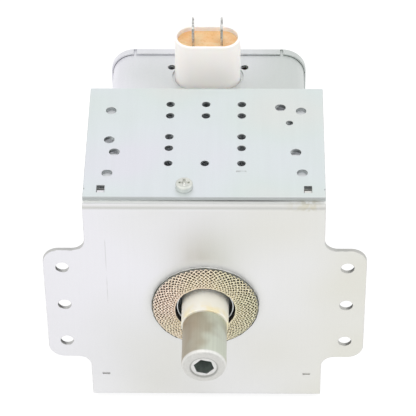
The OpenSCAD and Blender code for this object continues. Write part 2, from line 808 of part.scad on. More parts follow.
module strap(r) {
    color("peru") along_depth(vane_y) difference() {
        cylinder(r = r + strap_wall, h = strap_h);
        translate([0, 0, -over]) cylinder(r = r, h = strap_h + 2 * over);
    }
}

module pole_piece() {
    along_depth() rotate_extrude() polygon([
        [anode_r, pole_y],
        [anode_r, anode_y],
        [funnel_top_r, anode_y],
        [funnel_tip_r, pole_y + funnel_d + pole_t],
        [pole_hole_d / 2, pole_y + funnel_d + pole_t],
        [pole_hole_d / 2, pole_y + funnel_d],
        [funnel_tip_r, pole_y + funnel_d],
        [funnel_top_r, pole_y]]);
}

module front_pole_piece() {
    color("slategray") difference() {
        pole_piece();
        translate([lead_x, pole_y - over, 0]) along_depth()
            cylinder(d = lead_d + 2 * lead_gap, h = funnel_d + pole_t + 2 * over);
    }
}

module rear_pole_piece() {
    color("slategray") to_rear() pole_piece();
}

module rear_seal() {
    color("silver") along_depth() rotate_extrude() union() {
        translate([tube_r - tube_wall, anode_y + anode_l + pole_t])
            square([seal_flange_r - tube_r + tube_wall, seal_t]);
        translate([tube_r - tube_wall, anode_y + anode_l + pole_t])
            square([tube_wall, stem_tube_y - anode_y - anode_l - pole_t]);
    }
}

// Cathode

module filament() {
    steps = 10;
    low = hat_y + hat_t + filament_wire / 2 + fit;
    high = 2 * mid_y - low;
    count = floor((high - low) / (filament_wire + filament_space)) * steps;
    color("darkslategray") wire([for (k = [0:count])
        let (a = 360 * k / steps)
        [filament_d / 2 * cos(a), low + (high - low) * k / count, filament_d / 2 * sin(a)]],
        filament_wire, [1, 0, 0], 6);
}

module end_hat(bore_d) {
    color("darkslategray") along_depth(hat_y) difference() {
        cylinder(d = hat_d, h = hat_t);
        translate([0, 0, -over]) cylinder(d = bore_d, h = hat_t + 2 * over);
    }
}

module front_end_hat() {
    end_hat(cathode_lead_d + 2 * fit);
}

module rear_end_hat() {
    to_rear() end_hat(2 * cathode_lead_d);
}

module centre_lead() {
    color("darkslategray") wire([[0, hat_y, 0], [0, lead_split_y, 0],
        [-pin_x, lead_joined_y, 0], [-pin_x, stem_back_y + cathode_tag_t, 0]],
        cathode_lead_d, [0, 0, 1], 10);
}

module side_lead() {
    color("darkslategray") wire([[side_lead_x, 2 * mid_y - hat_y, 0], [side_lead_x, lead_split_y, 0],
        [pin_x, lead_joined_y, 0], [pin_x, stem_back_y + cathode_tag_t, 0]],
        cathode_lead_d, [0, 0, 1], 10);
}

module stem_ceramic() {
    color("ivory") difference() {
        union() {
            along_depth(stem_front_y) cylinder(r = tube_r - tube_wall - fit, h = stem_seat);
            along_depth(stem_front_y) cylinder(d = stem_d, h = stem_seat + stem_l);
        }
        for (x = [-1, 1]) translate([x * pin_x, stem_front_y - over, 0])
            along_depth() cylinder(d = cathode_lead_d + 2 * fit, h = stem_seat + stem_l + 2 * over);
    }
}

module cathode_terminal(side) {
    foot_x = pin_x - cathode_lead_d - fit;
    color("silver") difference() {
        on_side(side) union() {
            translate([foot_x, stem_back_y, -cathode_tag_w / 2])
                cube([cathode_tag_x - foot_x, cathode_tag_t, cathode_tag_w]);
            translate([cathode_tag_x - cathode_tag_t, stem_back_y, -cathode_tag_w / 2])
                cube([cathode_tag_t, cathode_tag_y - stem_back_y, cathode_tag_w]);
        }
        translate([side * pin_x, stem_back_y - over, 0])
            along_depth() cylinder(d = cathode_lead_d + 2 * fit, h = cathode_tag_t + 2 * over);
    }
}

// Draws a right-hand piece on the right, or its mirror image on the left
module on_side(side) {
    mirror([side < 0 ? 1 : 0, 0, 0]) children();
}

// Draws a lower piece below, or its mirror image above
module on_end(end) {
    mirror([0, 0, end > 0 ? 1 : 0]) children();
}

// Cooling fins

function fin_in_y(i) = mid_y + (i - (fin_count + 1) / 2) * fin_in_pitch;
function fin_out_y(i) = mid_y + (i - (fin_count + 1) / 2) * fin_out_pitch;
function lip_y(i) = fin_out_y(i) + (i <= fin_count / 2 ? -1 : 1) * fin_lip_l;
// Lips that reach under a folded flap lie on the flap, the others on the wall
function fin_seat(i) = min(fin_out_y(i), lip_y(i)) < flap_d + 2 * fit ? flap_in : wall_in;
function half_fin(i, z) = [[fin_in_y(i), fin_flat_z], [fin_out_y(i), fin_splay_z], [fin_out_y(i), z]];
function lower(path) = [for (k = [len(path) - 1:-1:0]) [path[k].x, -path[k].y]];
function both_halves(path) = concat(lower(path), path);

module cooling_fin(i) {
    lip_z = fin_seat(i) - fin_t / 2;
    plain = half_fin(i, fin_seat(i) - fin_end_gap);
    lipped = concat(half_fin(i, lip_z), [[lip_y(i), lip_z]]);
    collar_h = fin_in_pitch - fin_collar_gap;
    color("lightsteelblue") difference() {
        union() {
            across(fin_w) polygon(strip(both_halves(plain), fin_t));
            for (x = [-1, 1]) across(fin_lip_w, x * (fin_w - fin_lip_w) / 2)
                polygon(strip(both_halves(lipped), fin_t));
            along_depth(fin_in_y(i)) cylinder(r = fin_bore_r + fin_t, h = collar_h);
        }
        along_depth(fin_in_y(i) - over) cylinder(r = fin_bore_r, h = collar_h + 2 * over);
    }
}

// Filter box

module rivet_places() {
    for (x = [-1, 1], z = [-1, 1]) translate([x * rivet_x, 0, z * rivet_x]) children();
}

// Section of a drawn block's border, width over depth, with its outer front corner rounded
module drawn_section(w, d, edge_r) {
    translate([0, edge_r]) square([w, d - edge_r]);
    square([w - edge_r, edge_r]);
    translate([w - edge_r, edge_r]) circle(edge_r);
}

// A block drawn back from depth y, with round corners and a rounded edge all round its front face
module drawn_block(w, h, y, d, corner_r, edge_r) {
    flat_w = w - 2 * corner_r;
    flat_h = h - 2 * corner_r;
    sheet(y, d) square([flat_w + corner_r, flat_h + corner_r], center = true);
    for (side = [-1, 1]) {
        on_side(side) translate([flat_w / 2, y, 0]) linear_extrude(flat_h, center = true)
            drawn_section(corner_r, d, edge_r);
        on_end(side) across(flat_w) translate([y, -flat_h / 2]) rotate(-90)
            drawn_section(corner_r, d, edge_r);
        for (end = [-1, 1])
            on_side(side) on_end(end) translate([flat_w / 2, y, -flat_h / 2])
                along_depth() rotate_extrude(angle = 90) drawn_section(corner_r, d, edge_r);
    }
}

module filter_box() {
    color("gainsboro") difference() {
        drawn_block(box_w, box_h, yoke_d, box_d, box_corner_r, box_edge_r);
        drawn_block(box_w - 2 * box_t, box_h - 2 * box_t, yoke_d + box_t, box_d,
                    box_corner_r - box_t, box_edge_r - box_t);
        along_depth(yoke_d - over) cylinder(d = tube_d + 2 * fit, h = box_t + 2 * over);
        rivet_places() along_depth(yoke_d - over) cylinder(d = rivet_d + 2 * fit, h = box_t + 2 * over);
        translate([0, cup_mid_y, box_in_top - over]) {
            linear_extrude(box_t + 2 * over) stadium(cup_w + 2 * cup_gap, cup_d + 2 * cup_gap);
            cap_holes(box_t + 2 * over);
        }
    }
}

module cap_holes(h) {
    reach = cup_d / 2 + cup_gap + cap_hole_land + cap_hole_d / 2;
    for (side = [-1, 1])
        on_side(side) translate([(cup_w - cup_d) / 2, 0, 0]) rotate(cap_hole_turn)
            translate([reach, 0, 0]) cylinder(d = cap_hole_d, h = h);
}

module filter_lid() {
    straight_x = box_w / 2 - box_corner_r;
    straight_z = box_h / 2 - box_corner_r;
    lip_y = box_back - lid_lip;
    color("gainsboro") difference() {
        translate([0, box_back + lid_t, 0]) mirror([0, 1, 0])
            drawn_block(box_w + 2 * lid_grow, box_h + 2 * lid_grow, 0, lid_lip + lid_t,
                        box_corner_r + lid_grow, lid_edge_r);
        sheet(lip_y - over, lid_lip + over)
            rounded_rect(box_w + 2 * lid_gap, box_h + 2 * lid_gap, box_corner_r + lid_gap);
        for (x = [-1, 1], z = [-1, 1]) {
            translate([x * straight_x - lid_split / 2, lip_y - over, z * box_h / 2 - lid_lip])
                cube([lid_split, lid_lip + over, 2 * lid_lip]);
            translate([x * box_w / 2 - lid_lip, lip_y - over, z * straight_z - lid_split / 2])
                cube([2 * lid_lip, lid_lip + over, lid_split]);
        }
    }
}

module filter_box_rivets() {
    color("silver") rivet_places() {
        along_depth(back_in - rivet_head_h) cylinder(d = rivet_head_d, h = rivet_head_h);
        along_depth(back_in - rivet_head_h)
            cylinder(d = rivet_d, h = frame_t + box_t + 2 * rivet_head_h);
        along_depth(yoke_d + box_t) cylinder(d = rivet_head_d, h = rivet_head_h);
    }
}

// Capacitor and terminals

module tab_profile() {
    polygon([
        [cup_mid_y - tab_w / 2, tab_low_z],
        [cup_mid_y + tab_w / 2, tab_low_z],
        [cup_mid_y + tab_w / 2, tab_tip_z - tab_bevel],
        [cup_mid_y + tab_w / 2 - tab_bevel, tab_tip_z],
        [cup_mid_y - tab_w / 2 + tab_bevel, tab_tip_z],
        [cup_mid_y - tab_w / 2, tab_tip_z - tab_bevel]]);
}

module tab_blank(side) {
    across(tab_t, side * tab_pitch / 2) tab_profile();
}

module terminal_tab(side) {
    color("silver") difference() {
        tab_blank(side);
        translate([side * tab_pitch / 2, cup_mid_y, tab_tip_z - tab_hole_drop])
            rotate([0, 90, 0]) cylinder(d = tab_hole_d, h = tab_t + 2 * over, center = true);
    }
}

// Extrudes the cup's oval, grown on all sides, between two heights
module cup_prism(grow, z0, z1) {
    translate([0, cup_mid_y, z0]) linear_extrude(z1 - z0) stadium(cup_w + 2 * grow, cup_d + 2 * grow);
}

module capacitor_case() {
    plate_low = box_in_top - cap_plate_t;
    color("seashell") difference() {
        union() {
            cup_prism(0, cup_low_z, cup_rim_z);
            cup_prism(cup_collar, plate_low - cup_collar_h, plate_low);
        }
        cup_prism(-cup_wall, resin_low_z, cup_rim_z + over);
        for (side = [-1, 1]) tab_blank(side);
    }
}

module capacitor_resin() {
    color("burlywood") difference() {
        cup_prism(-cup_wall, resin_low_z, resin_top_z);
        for (side = [-1, 1]) tab_blank(side);
    }
}

module capacitor_flange() {
    color("silver") difference() {
        translate([0, cup_mid_y, box_in_top - cap_plate_t]) linear_extrude(cap_plate_t)
            rounded_rect(cap_plate_w, cap_plate_d, cap_hole_d);
        cup_prism(fit, box_in_top - cap_plate_t - over, box_in_top + over);
        translate([0, cup_mid_y, box_in_top - cap_plate_t - over]) cap_holes(cap_plate_t + 2 * over);
    }
}

// Chokes

module choke_coil(side) {
    steps = 12;
    count = steps * (choke_turns + 0.5);
    turns = [for (k = [0:count])
        let (a = 360 * k / steps - 90)
        [choke_x + choke_r * cos(a), choke_y + choke_r * sin(a), choke_low_z + choke_pitch * k / steps]];
    start = [cathode_tag_x, choke_y - choke_r, choke_low_z];
    end = [tab_pitch / 2 + tab_t / 2, choke_y + choke_r, choke_top_z];
    color("peru") on_side(side) wire(concat([start], turns, [end]), choke_wire, [0, 0, 1]);
}

module choke_core(side) {
    color("dimgray") translate([side * choke_x, choke_y, choke_low_z - core_over])
        cylinder(r = choke_r - choke_wire / 2 - core_gap, h = choke_top_z - choke_low_z + 2 * core_over);
}

flange_plate();
yoke_frame();
yoke_screw();
rf_gasket();
antenna_cap();
antenna_ceramic();
exhaust_tube();
antenna_lead();
front_seal();
rear_seal();
front_magnet();
rear_magnet();
anode_cylinder();
for (i = [1:vane_count]) anode_vane(i);
strap(strap_r);  // front_strap_inner
strap(strap_out_r);  // front_strap_outer
to_rear() strap(strap_r);  // rear_strap_inner
to_rear() strap(strap_out_r);  // rear_strap_outer
front_pole_piece();
rear_pole_piece();
filament();
front_end_hat();
rear_end_hat();
centre_lead();
side_lead();
stem_ceramic();
cathode_terminal(-1);  // cathode_terminal_left
cathode_terminal(1);  // cathode_terminal_right
for (i = [1:fin_count]) cooling_fin(i);
filter_box();
filter_lid();
filter_box_rivets();
capacitor_case();
capacitor_resin();
capacitor_flange();
terminal_tab(-1);  // terminal_tab_left
terminal_tab(1);  // terminal_tab_right
choke_coil(-1);  // choke_coil_left
choke_coil(1);  // choke_coil_right
choke_core(-1);  // choke_core_left
choke_core(1);  // choke_core_right
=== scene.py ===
import json
import math

import bmesh
import bpy
from mathutils import Matrix, Vector


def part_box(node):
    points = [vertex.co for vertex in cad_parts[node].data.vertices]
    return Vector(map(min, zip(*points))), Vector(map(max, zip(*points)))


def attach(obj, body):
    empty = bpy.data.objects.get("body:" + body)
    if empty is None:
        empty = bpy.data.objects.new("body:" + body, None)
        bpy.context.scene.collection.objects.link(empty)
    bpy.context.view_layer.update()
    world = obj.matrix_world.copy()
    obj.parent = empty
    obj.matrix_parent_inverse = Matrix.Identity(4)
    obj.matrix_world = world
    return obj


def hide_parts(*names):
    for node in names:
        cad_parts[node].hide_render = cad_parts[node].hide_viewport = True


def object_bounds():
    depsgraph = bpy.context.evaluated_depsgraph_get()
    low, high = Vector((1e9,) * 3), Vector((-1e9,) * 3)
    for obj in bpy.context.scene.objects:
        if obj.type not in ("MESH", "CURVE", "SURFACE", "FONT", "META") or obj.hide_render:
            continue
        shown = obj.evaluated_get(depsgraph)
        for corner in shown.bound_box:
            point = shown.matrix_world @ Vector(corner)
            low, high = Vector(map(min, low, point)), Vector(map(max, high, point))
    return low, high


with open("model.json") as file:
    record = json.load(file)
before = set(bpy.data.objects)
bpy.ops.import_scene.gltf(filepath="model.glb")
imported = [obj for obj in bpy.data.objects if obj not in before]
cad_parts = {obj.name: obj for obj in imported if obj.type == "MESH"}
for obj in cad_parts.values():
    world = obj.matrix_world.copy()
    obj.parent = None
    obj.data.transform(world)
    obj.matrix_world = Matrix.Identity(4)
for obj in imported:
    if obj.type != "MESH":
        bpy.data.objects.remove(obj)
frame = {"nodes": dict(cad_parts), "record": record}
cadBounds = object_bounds()
nodes = frame["nodes"]
slotOf = {row["node"]: row["material_slot"] for row in frame["record"]["subparts"]}
scene = bpy.context.scene
mm = 0.001
print("frame loaded with", len(nodes), "nodes")


# Node trees, for finishes and for geometry

def setInputs(tree, node, inputs):
    for key, value in inputs.items():
        if isinstance(value, bpy.types.NodeSocket):
            tree.links.new(value, node.inputs[key])
        else:
            node.inputs[key].default_value = value


def addNode(tree, kind, inputs=None, **settings):
    node = tree.nodes.new(kind)
    for name, value in settings.items():
        setattr(node, name, value)
    setInputs(tree, node, inputs or {})
    return node


def calc(tree, operation, first, second=0.0):
    return addNode(tree, "ShaderNodeMath", {0: first, 1: second}, operation=operation).outputs[0]


def between(tree, value, low, high, fromLow=0.3, fromHigh=0.7):  # noise mostly lies from 0.3 to 0.7
    ends = {0: value, 1: fromLow, 2: fromHigh, 3: low, 4: high}
    return addNode(tree, "ShaderNodeMapRange", ends).outputs[0]


def noise(tree, place, size, detail=2.0, stretch=(1, 1, 1)):  # size is about one blotch, in metres
    spread = addNode(tree, "ShaderNodeMapping",
                     {"Vector": place, "Scale": [share / size for share in stretch]}).outputs[0]
    blotches = {"Vector": spread, "Scale": 1.0, "Detail": detail}
    return addNode(tree, "ShaderNodeTexNoise", blotches).outputs[0]


def mixColour(tree, factor, first, second, blend="MIX"):
    return addNode(tree, "ShaderNodeMix", {0: factor, 6: first, 7: second},
                   data_type="RGBA", blend_type=blend).outputs[2]


def mixValue(tree, factor, first, second):
    return addNode(tree, "ShaderNodeMix", {0: factor, 2: first, 3: second}).outputs[0]


def colourRamp(tree, value, stops):
    ramp = addNode(tree, "ShaderNodeValToRGB", {"Fac": value})
    elements = ramp.color_ramp.elements
    for element, (position, colour) in zip(elements, (stops[0], stops[-1])):
        element.position = position
        element.color = (*colour, 1)
    for position, colour in stops[1:-1]:
        elements.new(position).color = (*colour, 1)
    return ramp.outputs["Color"]


def newFinish(name):
    material = bpy.data.materials.new(name)
    material.use_nodes = True
    tree = material.node_tree
    place = addNode(tree, "ShaderNodeTexCoord").outputs["Object"]
    return material, tree, tree.nodes["Principled BSDF"], place


def addBump(tree, shader, height, strength, depth):
    bump = addNode(tree, "ShaderNodeBump", {"Height": height, "Strength": strength, "Distance": depth})
    tree.links.new(bump.outputs[0], shader.inputs["Normal"])


# Places that the marks keep to, in mm, from the boxes of the nodes

def boxInMm(node):
    return [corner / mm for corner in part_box(node)]


yokeSheet = 1.5  # thickness of the frame's sheet, which no box shows
frameLow, frameHigh = boxInMm("yoke_frame")
wallFront = frameLow.y
wallBack = frameHigh.y
wallSide = frameHigh.x
wallTop = frameHigh.z
foldTop = wallTop - yokeSheet  # outer face of the plate's flap, under the wall
screwLow, screwHigh = boxInMm("yoke_screw")
screwMiddle = (screwLow + screwHigh) / 2
screwTop = screwHigh.z
capLow, capHigh = boxInMm("antenna_cap")
capFront = capLow.y
capRear = capHigh.y
capRadius = capHigh.x
sealFront = boxInMm("front_seal")[0].y
gasketRim = boxInMm("rf_gasket")[1].x


# Marks are places where a finish changes, or where light and shade are painted into its colour: each ramp
# is (axis, where it starts, where it is full), in mm

alongX, alongY, alongZ, fromAxis = range(4)  # the last is the distance from the antenna's axis
patchEdge = (0.42, 0.58)  # noise values between which a patchy mark fades in


def band(axis, middle, halfWidth, soft):  # full to halfWidth from the middle, then fades over soft
    return [(axis, middle - halfWidth - soft, middle - halfWidth),
            (axis, middle + halfWidth + soft, middle + halfWidth)]


def markMask(tree, place, mark):
    axes = list(addNode(tree, "ShaderNodeSeparateXYZ", {0: place}).outputs)
    squares = [calc(tree, "MULTIPLY", axis, axis) for axis in (axes[alongX], axes[alongZ])]
    axes.append(calc(tree, "SQRT", calc(tree, "ADD", *squares)))
    masks = []
    for axis, start, full in mark.get("ramps", []):
        masks.append(between(tree, axes[axis], 0.0, 1.0, start * mm, full * mm))
    if "attribute" in mark:
        masks.append(addNode(tree, "ShaderNodeAttribute", attribute_name=mark["attribute"]).outputs["Fac"])
    if "patchSize" in mark:
        masks.append(between(tree, noise(tree, place, mark["patchSize"]), 0.0, 1.0, *patchEdge))
    mask = calc(tree, "MULTIPLY", masks[0], mark.get("strength", 1.0))
    for other in masks[1:]:
        mask = calc(tree, "MULTIPLY", mask, other)
    return mask


# Finishes of metal: patches of tint, streaks along the rolling or drawing direction, fine grain

metalWear = {"streakShare": 0.5, "patchShare": 0.5, "from": 0.35, "to": 0.65}  # where it is rough
metalRelief = {"streakShare": 0.6, "depth": 0.05 * mm}


def metalFinish(name, look):
    material, tree, shader, place = newFinish(name)
    across = addNode(tree, "ShaderNodeSeparateXYZ", {0: place}).outputs[0]
    patch = noise(tree, place, look["patchSize"], detail=1.5)
    drifted = calc(tree, "ADD", patch, calc(tree, "MULTIPLY", across, look.get("drift", 0.0)))
    colour = colourRamp(tree, drifted, look["tints"])
    streak = noise(tree, place, look["streakSize"], detail=3.0, stretch=look["streakStretch"])
    grain = noise(tree, place, look["grainSize"])
    shade = calc(tree, "ADD", between(tree, streak, -look["streakDepth"], look["streakDepth"]),
                 between(tree, grain, 1 - look["grainDepth"], 1 + look["grainDepth"]))
    shadeColour = addNode(tree, "ShaderNodeCombineColor", {0: shade, 1: shade, 2: shade}).outputs[0]
    wear = calc(tree, "ADD", calc(tree, "MULTIPLY", streak, metalWear["streakShare"]),
                calc(tree, "MULTIPLY", patch, metalWear["patchShare"]))
    roughness = between(tree, wear, *look["roughness"], metalWear["from"], metalWear["to"])
    for mark in look.get("marks", []):
        mask = markMask(tree, place, mark)
        colour = mixColour(tree, mask, colour, (*mark["colour"], 1))
        if "roughness" in mark:
            roughness = mixValue(tree, mask, roughness, mark["roughness"])
    setInputs(tree, shader, {
        "Base Color": mixColour(tree, 1.0, colour, shadeColour, "MULTIPLY"),
        "Roughness": roughness, "Metallic": look.get("metallic", 1.0)})
    relief = calc(tree, "ADD", calc(tree, "MULTIPLY", streak, metalRelief["streakShare"]), grain)
    addBump(tree, shader, relief, look["bump"], metalRelief["depth"])
    return material


wornZinc = {"attribute": "wornEdge", "patchSize": 2.5 * mm, "colour": (0.47, 0.47, 0.46), "strength": 0.7,
            "roughness": 0.35}  # broken edges rubbed through the plating here and there
plateZincLook = {
    "tints": [(0.25, (0.815, 0.81, 0.845)), (0.45, (0.79, 0.79, 0.80)), (0.58, (0.765, 0.765, 0.75)),
              (0.78, (0.735, 0.73, 0.675))],
    "patchSize": 55 * mm, "drift": 4.5, "streakSize": 1.2 * mm, "streakStretch": (1, 1, 0.04),
    "streakDepth": 0.010, "grainSize": 0.5 * mm, "grainDepth": 0.010, "roughness": (0.34, 0.46),
    "bump": 0.05,
    "marks": [
        wornZinc,
        # dull ring round the gasket
        {"ramps": [(fromAxis, gasketRim - 1.3, gasketRim - 0.8),
                   (fromAxis, gasketRim + 3.7, gasketRim + 0.7)],
         "colour": (0.83, 0.83, 0.82), "roughness": 0.66},
        # sheared edges
        {"attribute": "cutEdge", "colour": (0.50, 0.50, 0.48), "strength": 0.8, "roughness": 0.55},
        # thin upright darker line on the left, in patches
        {"ramps": [*band(alongX, middle=-33.105, halfWidth=0.075, soft=0.1),
                   *band(alongZ, middle=21, halfWidth=15, soft=6)],
         "patchSize": 9 * mm, "colour": (0.58, 0.58, 0.58), "strength": 0.6},
        # darker line along the lower bend
        {"ramps": [(alongZ, 1.0 - foldTop, 0.55 - foldTop)], "colour": (0.46, 0.45, 0.49), "strength": 0.8},
        # shaded bands along the upper bend
        {"ramps": [(alongZ, foldTop - 1.45, foldTop - 0.85), (alongZ, foldTop - 0.3, foldTop - 0.65)],
         "colour": (0.56, 0.56, 0.54), "strength": 0.9},
        {"ramps": [(alongZ, foldTop - 0.6, foldTop - 0.3), (alongY, 2.4, 1.6)],
         "colour": (0.60, 0.605, 0.59), "strength": 0.4},
        {"ramps": [(alongZ, foldTop - 1.1, foldTop - 0.8), (alongY, 1.25, 0.80), (alongY, 0.22, 0.50)],
         "colour": (0.46, 0.46, 0.445), "strength": 0.50},
        # painted light: a bright strip on the flap before the wall's front edge, lifting the shade and dark
        # reflection there
        {"ramps": [(alongY, wallFront - 1.4, wallFront - 0.8), (alongY, wallFront + 1.0, wallFront + 0.4),
                   (alongZ, foldTop - 0.4, foldTop - 0.1)],
         "colour": (0.96, 0.96, 0.945), "roughness": 0.62},
        # brown stain at the right end of the upper bend
        {"ramps": [(alongX, wallSide - 14, wallSide - 6), (alongX, wallSide - 1, wallSide - 4),
                   (alongY, wallFront + 1.0, wallFront + 0.4), (alongZ, foldTop - 2.1, foldTop - 1.2)],
         "patchSize": 2 * mm, "colour": (0.50, 0.46, 0.31), "strength": 0.45}]}
frameZincLook = {
    "tints": [(0.28, (0.76, 0.765, 0.82)), (0.42, (0.735, 0.78, 0.80)), (0.55, (0.715, 0.775, 0.765)),
              (0.75, (0.745, 0.765, 0.745))],
    "patchSize": 38 * mm, "drift": 2.0, "streakSize": 1.4 * mm, "streakStretch": (1, 0.05, 1),
    "streakDepth": 0.012, "grainSize": 0.5 * mm, "grainDepth": 0.012, "roughness": (0.34, 0.46),
    "bump": 0.05,
    "marks": [
        wornZinc,
        # sheared edges, and the corner that the shear rolled over
        {"attribute": "cutEdge", "colour": (0.45, 0.475, 0.475), "strength": 0.9, "roughness": 0.5},
        {"ramps": [(alongY, wallFront + 0.45, wallFront + 0.15), (alongZ, wallTop - 0.4, wallTop - 0.2)],
         "colour": (0.46, 0.48, 0.48), "strength": 0.8},
        # painted shadow: a dark line under the right half of the wall's front edge, as of a gap there
        {"ramps": [(alongY, wallFront + 0.25, wallFront + 0.1), (alongZ, foldTop + 0.45, foldTop + 0.25),
                   (alongX, -30, 8), (alongX, wallSide, wallSide - 18)],
         "colour": (0.05, 0.055, 0.05)}]}
# the can's tints drift across it, pale and lavender on the left, darker to the right: painted shade of
# light from the left
boxZincLook = {
    "tints": [(0.28, (0.83, 0.815, 0.88)), (0.5, (0.74, 0.75, 0.77)), (0.72, (0.63, 0.66, 0.645))],
    "patchSize": 45 * mm, "drift": 7.0, "streakSize": 1.5 * mm, "streakStretch": (1, 0.06, 1),
    "streakDepth": 0.015, "grainSize": 0.6 * mm, "grainDepth": 0.012, "roughness": (0.36, 0.48),
    "bump": 0.06, "marks": [wornZinc]}
screwSteelLook = {
    "tints": [(0.35, (0.72, 0.73, 0.68)), (0.65, (0.64, 0.66, 0.62))],
    "patchSize": 3 * mm, "streakSize": 0.4 * mm, "streakStretch": (1, 1, 0.2), "streakDepth": 0.03,
    "grainSize": 0.25 * mm, "grainDepth": 0.03, "roughness": (0.24, 0.36), "bump": 0.1,
    "marks": [
        # painted light in the cross recess
        {"ramps": [(alongZ, screwTop - 0.05, screwTop - 0.2),
                   *band(alongX, screwMiddle.x, halfWidth=1.0, soft=0.4),
                   *band(alongY, screwMiddle.y, halfWidth=1.2, soft=0.4)],
         "colour": (0.97, 0.97, 0.94), "roughness": 0.5},
        wornZinc]}
# the cap's tints drift across it, dark and brownish on the left, pale on the right: painted reflection and
# shade
capNickelLook = {
    "tints": [(0.28, (0.46, 0.40, 0.30)), (0.48, (0.50, 0.475, 0.375)), (0.72, (0.70, 0.735, 0.64))],
    "patchSize": 9 * mm, "drift": 24.0, "streakSize": 0.7 * mm, "streakStretch": (1, 0.03, 1),
    "streakDepth": 0.05, "grainSize": 0.3 * mm, "grainDepth": 0.02, "roughness": (0.28, 0.42), "bump": 0.12,
    "marks": [
        # front face, with painted light paler round the hexagon and a ring of painted shade round that
        {"ramps": [(alongY, capFront + 1.7, capFront + 0.5)],
         "colour": (0.62, 0.615, 0.59), "roughness": 0.34},
        {"ramps": [(alongY, capFront + 0.8, capFront + 0.6), (fromAxis, capRadius - 3.1, capRadius - 3.3)],
         "colour": (0.72, 0.72, 0.705), "roughness": 0.40},
        {"ramps": [(alongY, capFront + 0.9, capFront + 0.5), (fromAxis, capRadius - 3.4, capRadius - 3.1),
                   (fromAxis, capRadius - 2.5, capRadius - 2.8)],
         "colour": (0.44, 0.44, 0.42)},
        # painted highlight on the rounded front edge
        {"ramps": [(alongY, capFront + 1.6, capFront + 1.2), (alongY, capFront + 0.4, capFront + 0.8),
                   (fromAxis, capRadius - 1.2, capRadius - 0.8)],
         "colour": (0.78, 0.775, 0.75), "strength": 0.7},
        # rear rim
        {"ramps": [(alongY, capRear - 0.7, capRear - 0.3)], "colour": (0.76, 0.75, 0.72)},
        # painted light inside, so that the hexagon hole is less dark
        {"ramps": [(alongY, capFront + 0.5, capFront + 0.8), (fromAxis, capRadius - 0.3, capRadius - 0.5)],
         "colour": (0.90, 0.92, 0.90), "roughness": 0.5}]}
sealMetalLook = {
    "tints": [(0.35, (0.80, 0.82, 0.82)), (0.65, (0.72, 0.74, 0.74))],
    "patchSize": 8 * mm, "streakSize": 0.5 * mm, "streakStretch": (1, 0.1, 1), "streakDepth": 0.03,
    "grainSize": 0.3 * mm, "grainDepth": 0.02, "roughness": (0.30, 0.42), "bump": 0.08,
    # painted shade inside the seal, behind its front edge
    "marks": [{"ramps": [(alongY, sealFront + 0.2, sealFront + 0.5)],
               "colour": (0.24, 0.26, 0.26), "roughness": 0.6}]}  # dark behind its front edge
copperLook = {
    "tints": [(0.3, (0.72, 0.36, 0.22)), (0.55, (0.68, 0.30, 0.17)), (0.75, (0.54, 0.22, 0.13))],
    "patchSize": 7 * mm, "streakSize": 0.6 * mm, "streakStretch": (1, 0.1, 1), "streakDepth": 0.06,
    "grainSize": 0.3 * mm, "grainDepth": 0.04, "roughness": (0.28, 0.45), "bump": 0.12}
# the exhaust tube's tip, seen through the hexagon in the cap, is painted the grey-green of the shaded hole
# instead of copper
tubeHoleShadeLook = {
    "tints": [(0.35, (0.60, 0.70, 0.67)), (0.65, (0.55, 0.64, 0.61))], "metallic": 0.0,
    "patchSize": 4 * mm, "streakSize": 0.5 * mm, "streakStretch": (1, 0.2, 1), "streakDepth": 0.05,
    "grainSize": 0.3 * mm, "grainDepth": 0.05, "roughness": (0.55, 0.7), "bump": 0.15}
poleIronLook = {
    "tints": [(0.35, (0.34, 0.35, 0.37)), (0.65, (0.24, 0.25, 0.26))],
    "patchSize": 8 * mm, "streakSize": 0.6 * mm, "streakStretch": (1, 0.2, 1), "streakDepth": 0.05,
    "grainSize": 0.3 * mm, "grainDepth": 0.05, "roughness": (0.42, 0.58), "bump": 0.15}
cathodeMetalLook = {
    "tints": [(0.35, (0.22, 0.22, 0.24)), (0.65, (0.14, 0.14, 0.16))],
    "patchSize": 4 * mm, "streakSize": 0.3 * mm, "streakStretch": (1, 0.2, 1), "streakDepth": 0.06,
    "grainSize": 0.2 * mm, "grainDepth": 0.06, "roughness": (0.45, 0.62), "bump": 0.15}
finAluminiumLook = {
    "tints": [(0.3, (0.84, 0.85, 0.87)), (0.7, (0.76, 0.77, 0.79))], "metallic": 0.55,
    "patchSize": 20 * mm, "streakSize": 0.8 * mm, "streakStretch": (0.03, 1, 1), "streakDepth": 0.04,
    "grainSize": 0.4 * mm, "grainDepth": 0.02, "roughness": (0.40, 0.54), "bump": 0.1}
tabTinLook = {
    "tints": [(0.32, (0.78, 0.77, 0.74)), (0.5, (0.58, 0.58, 0.565)), (0.66, (0.34, 0.34, 0.335))],
    "patchSize": 1.0 * mm, "streakSize": 0.5 * mm, "streakStretch": (1, 1, 0.25), "streakDepth": 0.08,
    "grainSize": 0.25 * mm, "grainDepth": 0.06, "roughness": (0.28, 0.46), "bump": 0.2}


# Finishes of ceramic, ferrite, plastic, resin and wire

ceramicLook = {
    "tints": [(0.35, (0.87, 0.85, 0.77)), (0.65, (0.83, 0.805, 0.72))], "patchSize": 6 * mm,
    "grainSize": 0.25 * mm, "roughness": (0.42, 0.56), "bump": 0.08, "bumpDepth": 0.04 * mm,
    "subsurface": 0.12, "subsurfaceReach": (1.2 * mm, 1.0 * mm, 0.7 * mm),
    "marks": [{"ramps": [(alongY, capRear + 4.0, capRear + 0.4)], "patchSize": 4 * mm,
               "colour": (0.84, 0.76, 0.52)}]}  # painted warm reflection of the cap, in patches, beside the cap


